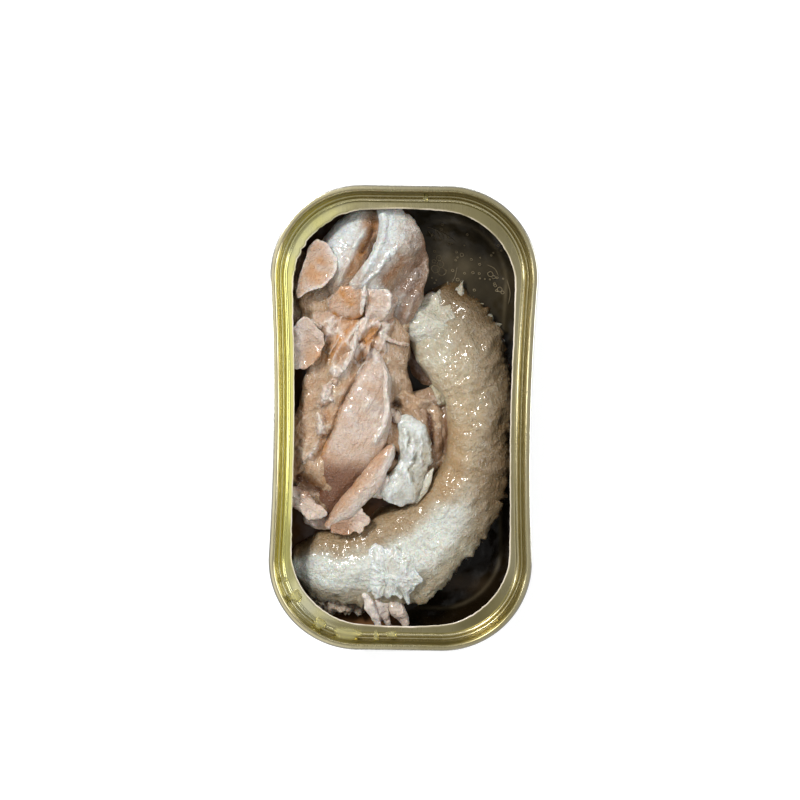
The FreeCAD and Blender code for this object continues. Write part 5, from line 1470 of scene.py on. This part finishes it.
def lamp(name, place, aim, size, power, colour=(1, 1, 1)):
    """A soft rectangular lamp at a place, turned to aim at another."""
    light = bpy.data.lights.new(name, "AREA")
    light.shape = "RECTANGLE"
    light.size, light.size_y = size
    light.energy = power
    light.color = colour
    holder = bpy.data.objects.new(name, light)
    away = np.array(place) - np.array(aim)
    holder.location = place
    holder.rotation_euler = (
        math.acos(away[2] / np.linalg.norm(away)),
        0,
        math.atan2(away[1], away[0]) + math.pi / 2,
    )
    bpy.context.scene.collection.objects.link(holder)


def make_stage():
    """A pale floor and a sky, both white to the camera and dim to the tin, and soft lamps all round."""
    floor = bpy.data.materials.new("studio floor")
    floor.use_nodes = True
    nodes = Nodes(floor.node_tree)
    nodes.tree.nodes.clear()
    mirrored = nodes.node("ShaderNodeLightPath", out="Is Glossy Ray")
    seen = nodes.node("ShaderNodeLightPath", out="Is Camera Ray")
    level = mirrored.math("MULTIPLY_ADD", mirrored, 0.4, seen) * 0.55
    glow = nodes.node("ShaderNodeEmission", Strength=level)
    matte = nodes.node("ShaderNodeBsdfDiffuse", Color=(0.82, 0.82, 0.82, 1))
    both = nodes.node("ShaderNodeAddShader", i0=matte, i1=glow)
    output = nodes.tree.nodes.new("ShaderNodeOutputMaterial")
    nodes.tree.links.new(both.socket, output.inputs["Surface"])
    half = 1.5
    mesh = bpy.data.meshes.new("floor")
    corners = [(-half, -half, 0), (half, -half, 0), (half, half, 0), (-half, half, 0)]
    mesh.from_pydata(corners, [], [(0, 1, 2, 3)])
    mesh.materials.append(floor)
    plane = bpy.data.objects.new("floor", mesh)
    bpy.context.scene.collection.objects.link(plane)

    world = bpy.data.worlds.new("studio")
    bpy.context.scene.world = world
    world.use_nodes = True
    nodes = Nodes(world.node_tree)
    sky = next(node for node in nodes.tree.nodes if node.type == "BACKGROUND")
    sky.inputs["Color"].default_value = (1.0, 0.99, 0.97, 1)
    seen = nodes.node("ShaderNodeLightPath", out="Is Camera Ray")
    level = seen.math("MULTIPLY_ADD", seen, 0.67, 0.33)
    nodes.tree.links.new(level.socket, sky.inputs["Strength"])

    middle = (0, 0, 0.02)
    lamp("window", (-0.44, 0.48, 0.78), middle, (0.2, 0.2), 7.2, (1.0, 0.99, 0.97))
    # The ceiling lamp looks a hair aside, so that its long side has a direction to lie in.
    lamp("ceiling", (-0.18, -0.02, 0.9), (-0.18, -0.0201, 0.0), (0.24, 0.8), 0.3)
    lamp("fill", (0.6, 0.1, 0.6), middle, (0.4, 0.4), 1.6, (0.94, 0.97, 1.0))
    lamp("left strip", (-0.7, 0.0, 0.35), middle, (0.05, 0.9), 1.0)
    lamp("right strip", (0.7, -0.1, 0.3), middle, (0.04, 0.9), 0.5)
    lamp("far strip", (0.0, 0.75, 0.3), middle, (0.9, 0.04), 0.8)
    lamp("near strip", (0.0, -0.75, 0.3), middle, (0.9, 0.04), 0.4)


def make_camera():
    """A camera 250 mm above the rim, a little towards the far end, looking almost straight down."""
    camera = bpy.data.cameras.new("camera")
    camera.lens = 50.2
    camera.sensor_width = 36
    camera.shift_y = 0.03
    camera.clip_start = 0.01
    holder = bpy.data.objects.new("camera", camera)
    place = np.array([0.0, 0.017, 0.278])
    aim = np.array([-0.0005, -0.0006, 0.028])
    # The tin's long way lies 0.8 degrees askew in the picture.
    upward = np.array([-0.0141, 1.0, 0.0])
    forward = (aim - place) / np.linalg.norm(aim - place)
    right = np.cross(forward, upward)
    right /= np.linalg.norm(right)
    matrix = np.eye(4)
    matrix[:3] = np.stack([right, np.cross(right, forward), -forward, place], axis=1)
    holder.matrix_world = mathutils.Matrix(matrix.tolist())
    bpy.context.scene.collection.objects.link(holder)
    bpy.context.scene.camera = holder


make_stage()
make_camera()

scene = bpy.context.scene
scene.view_settings.view_transform = "Standard"
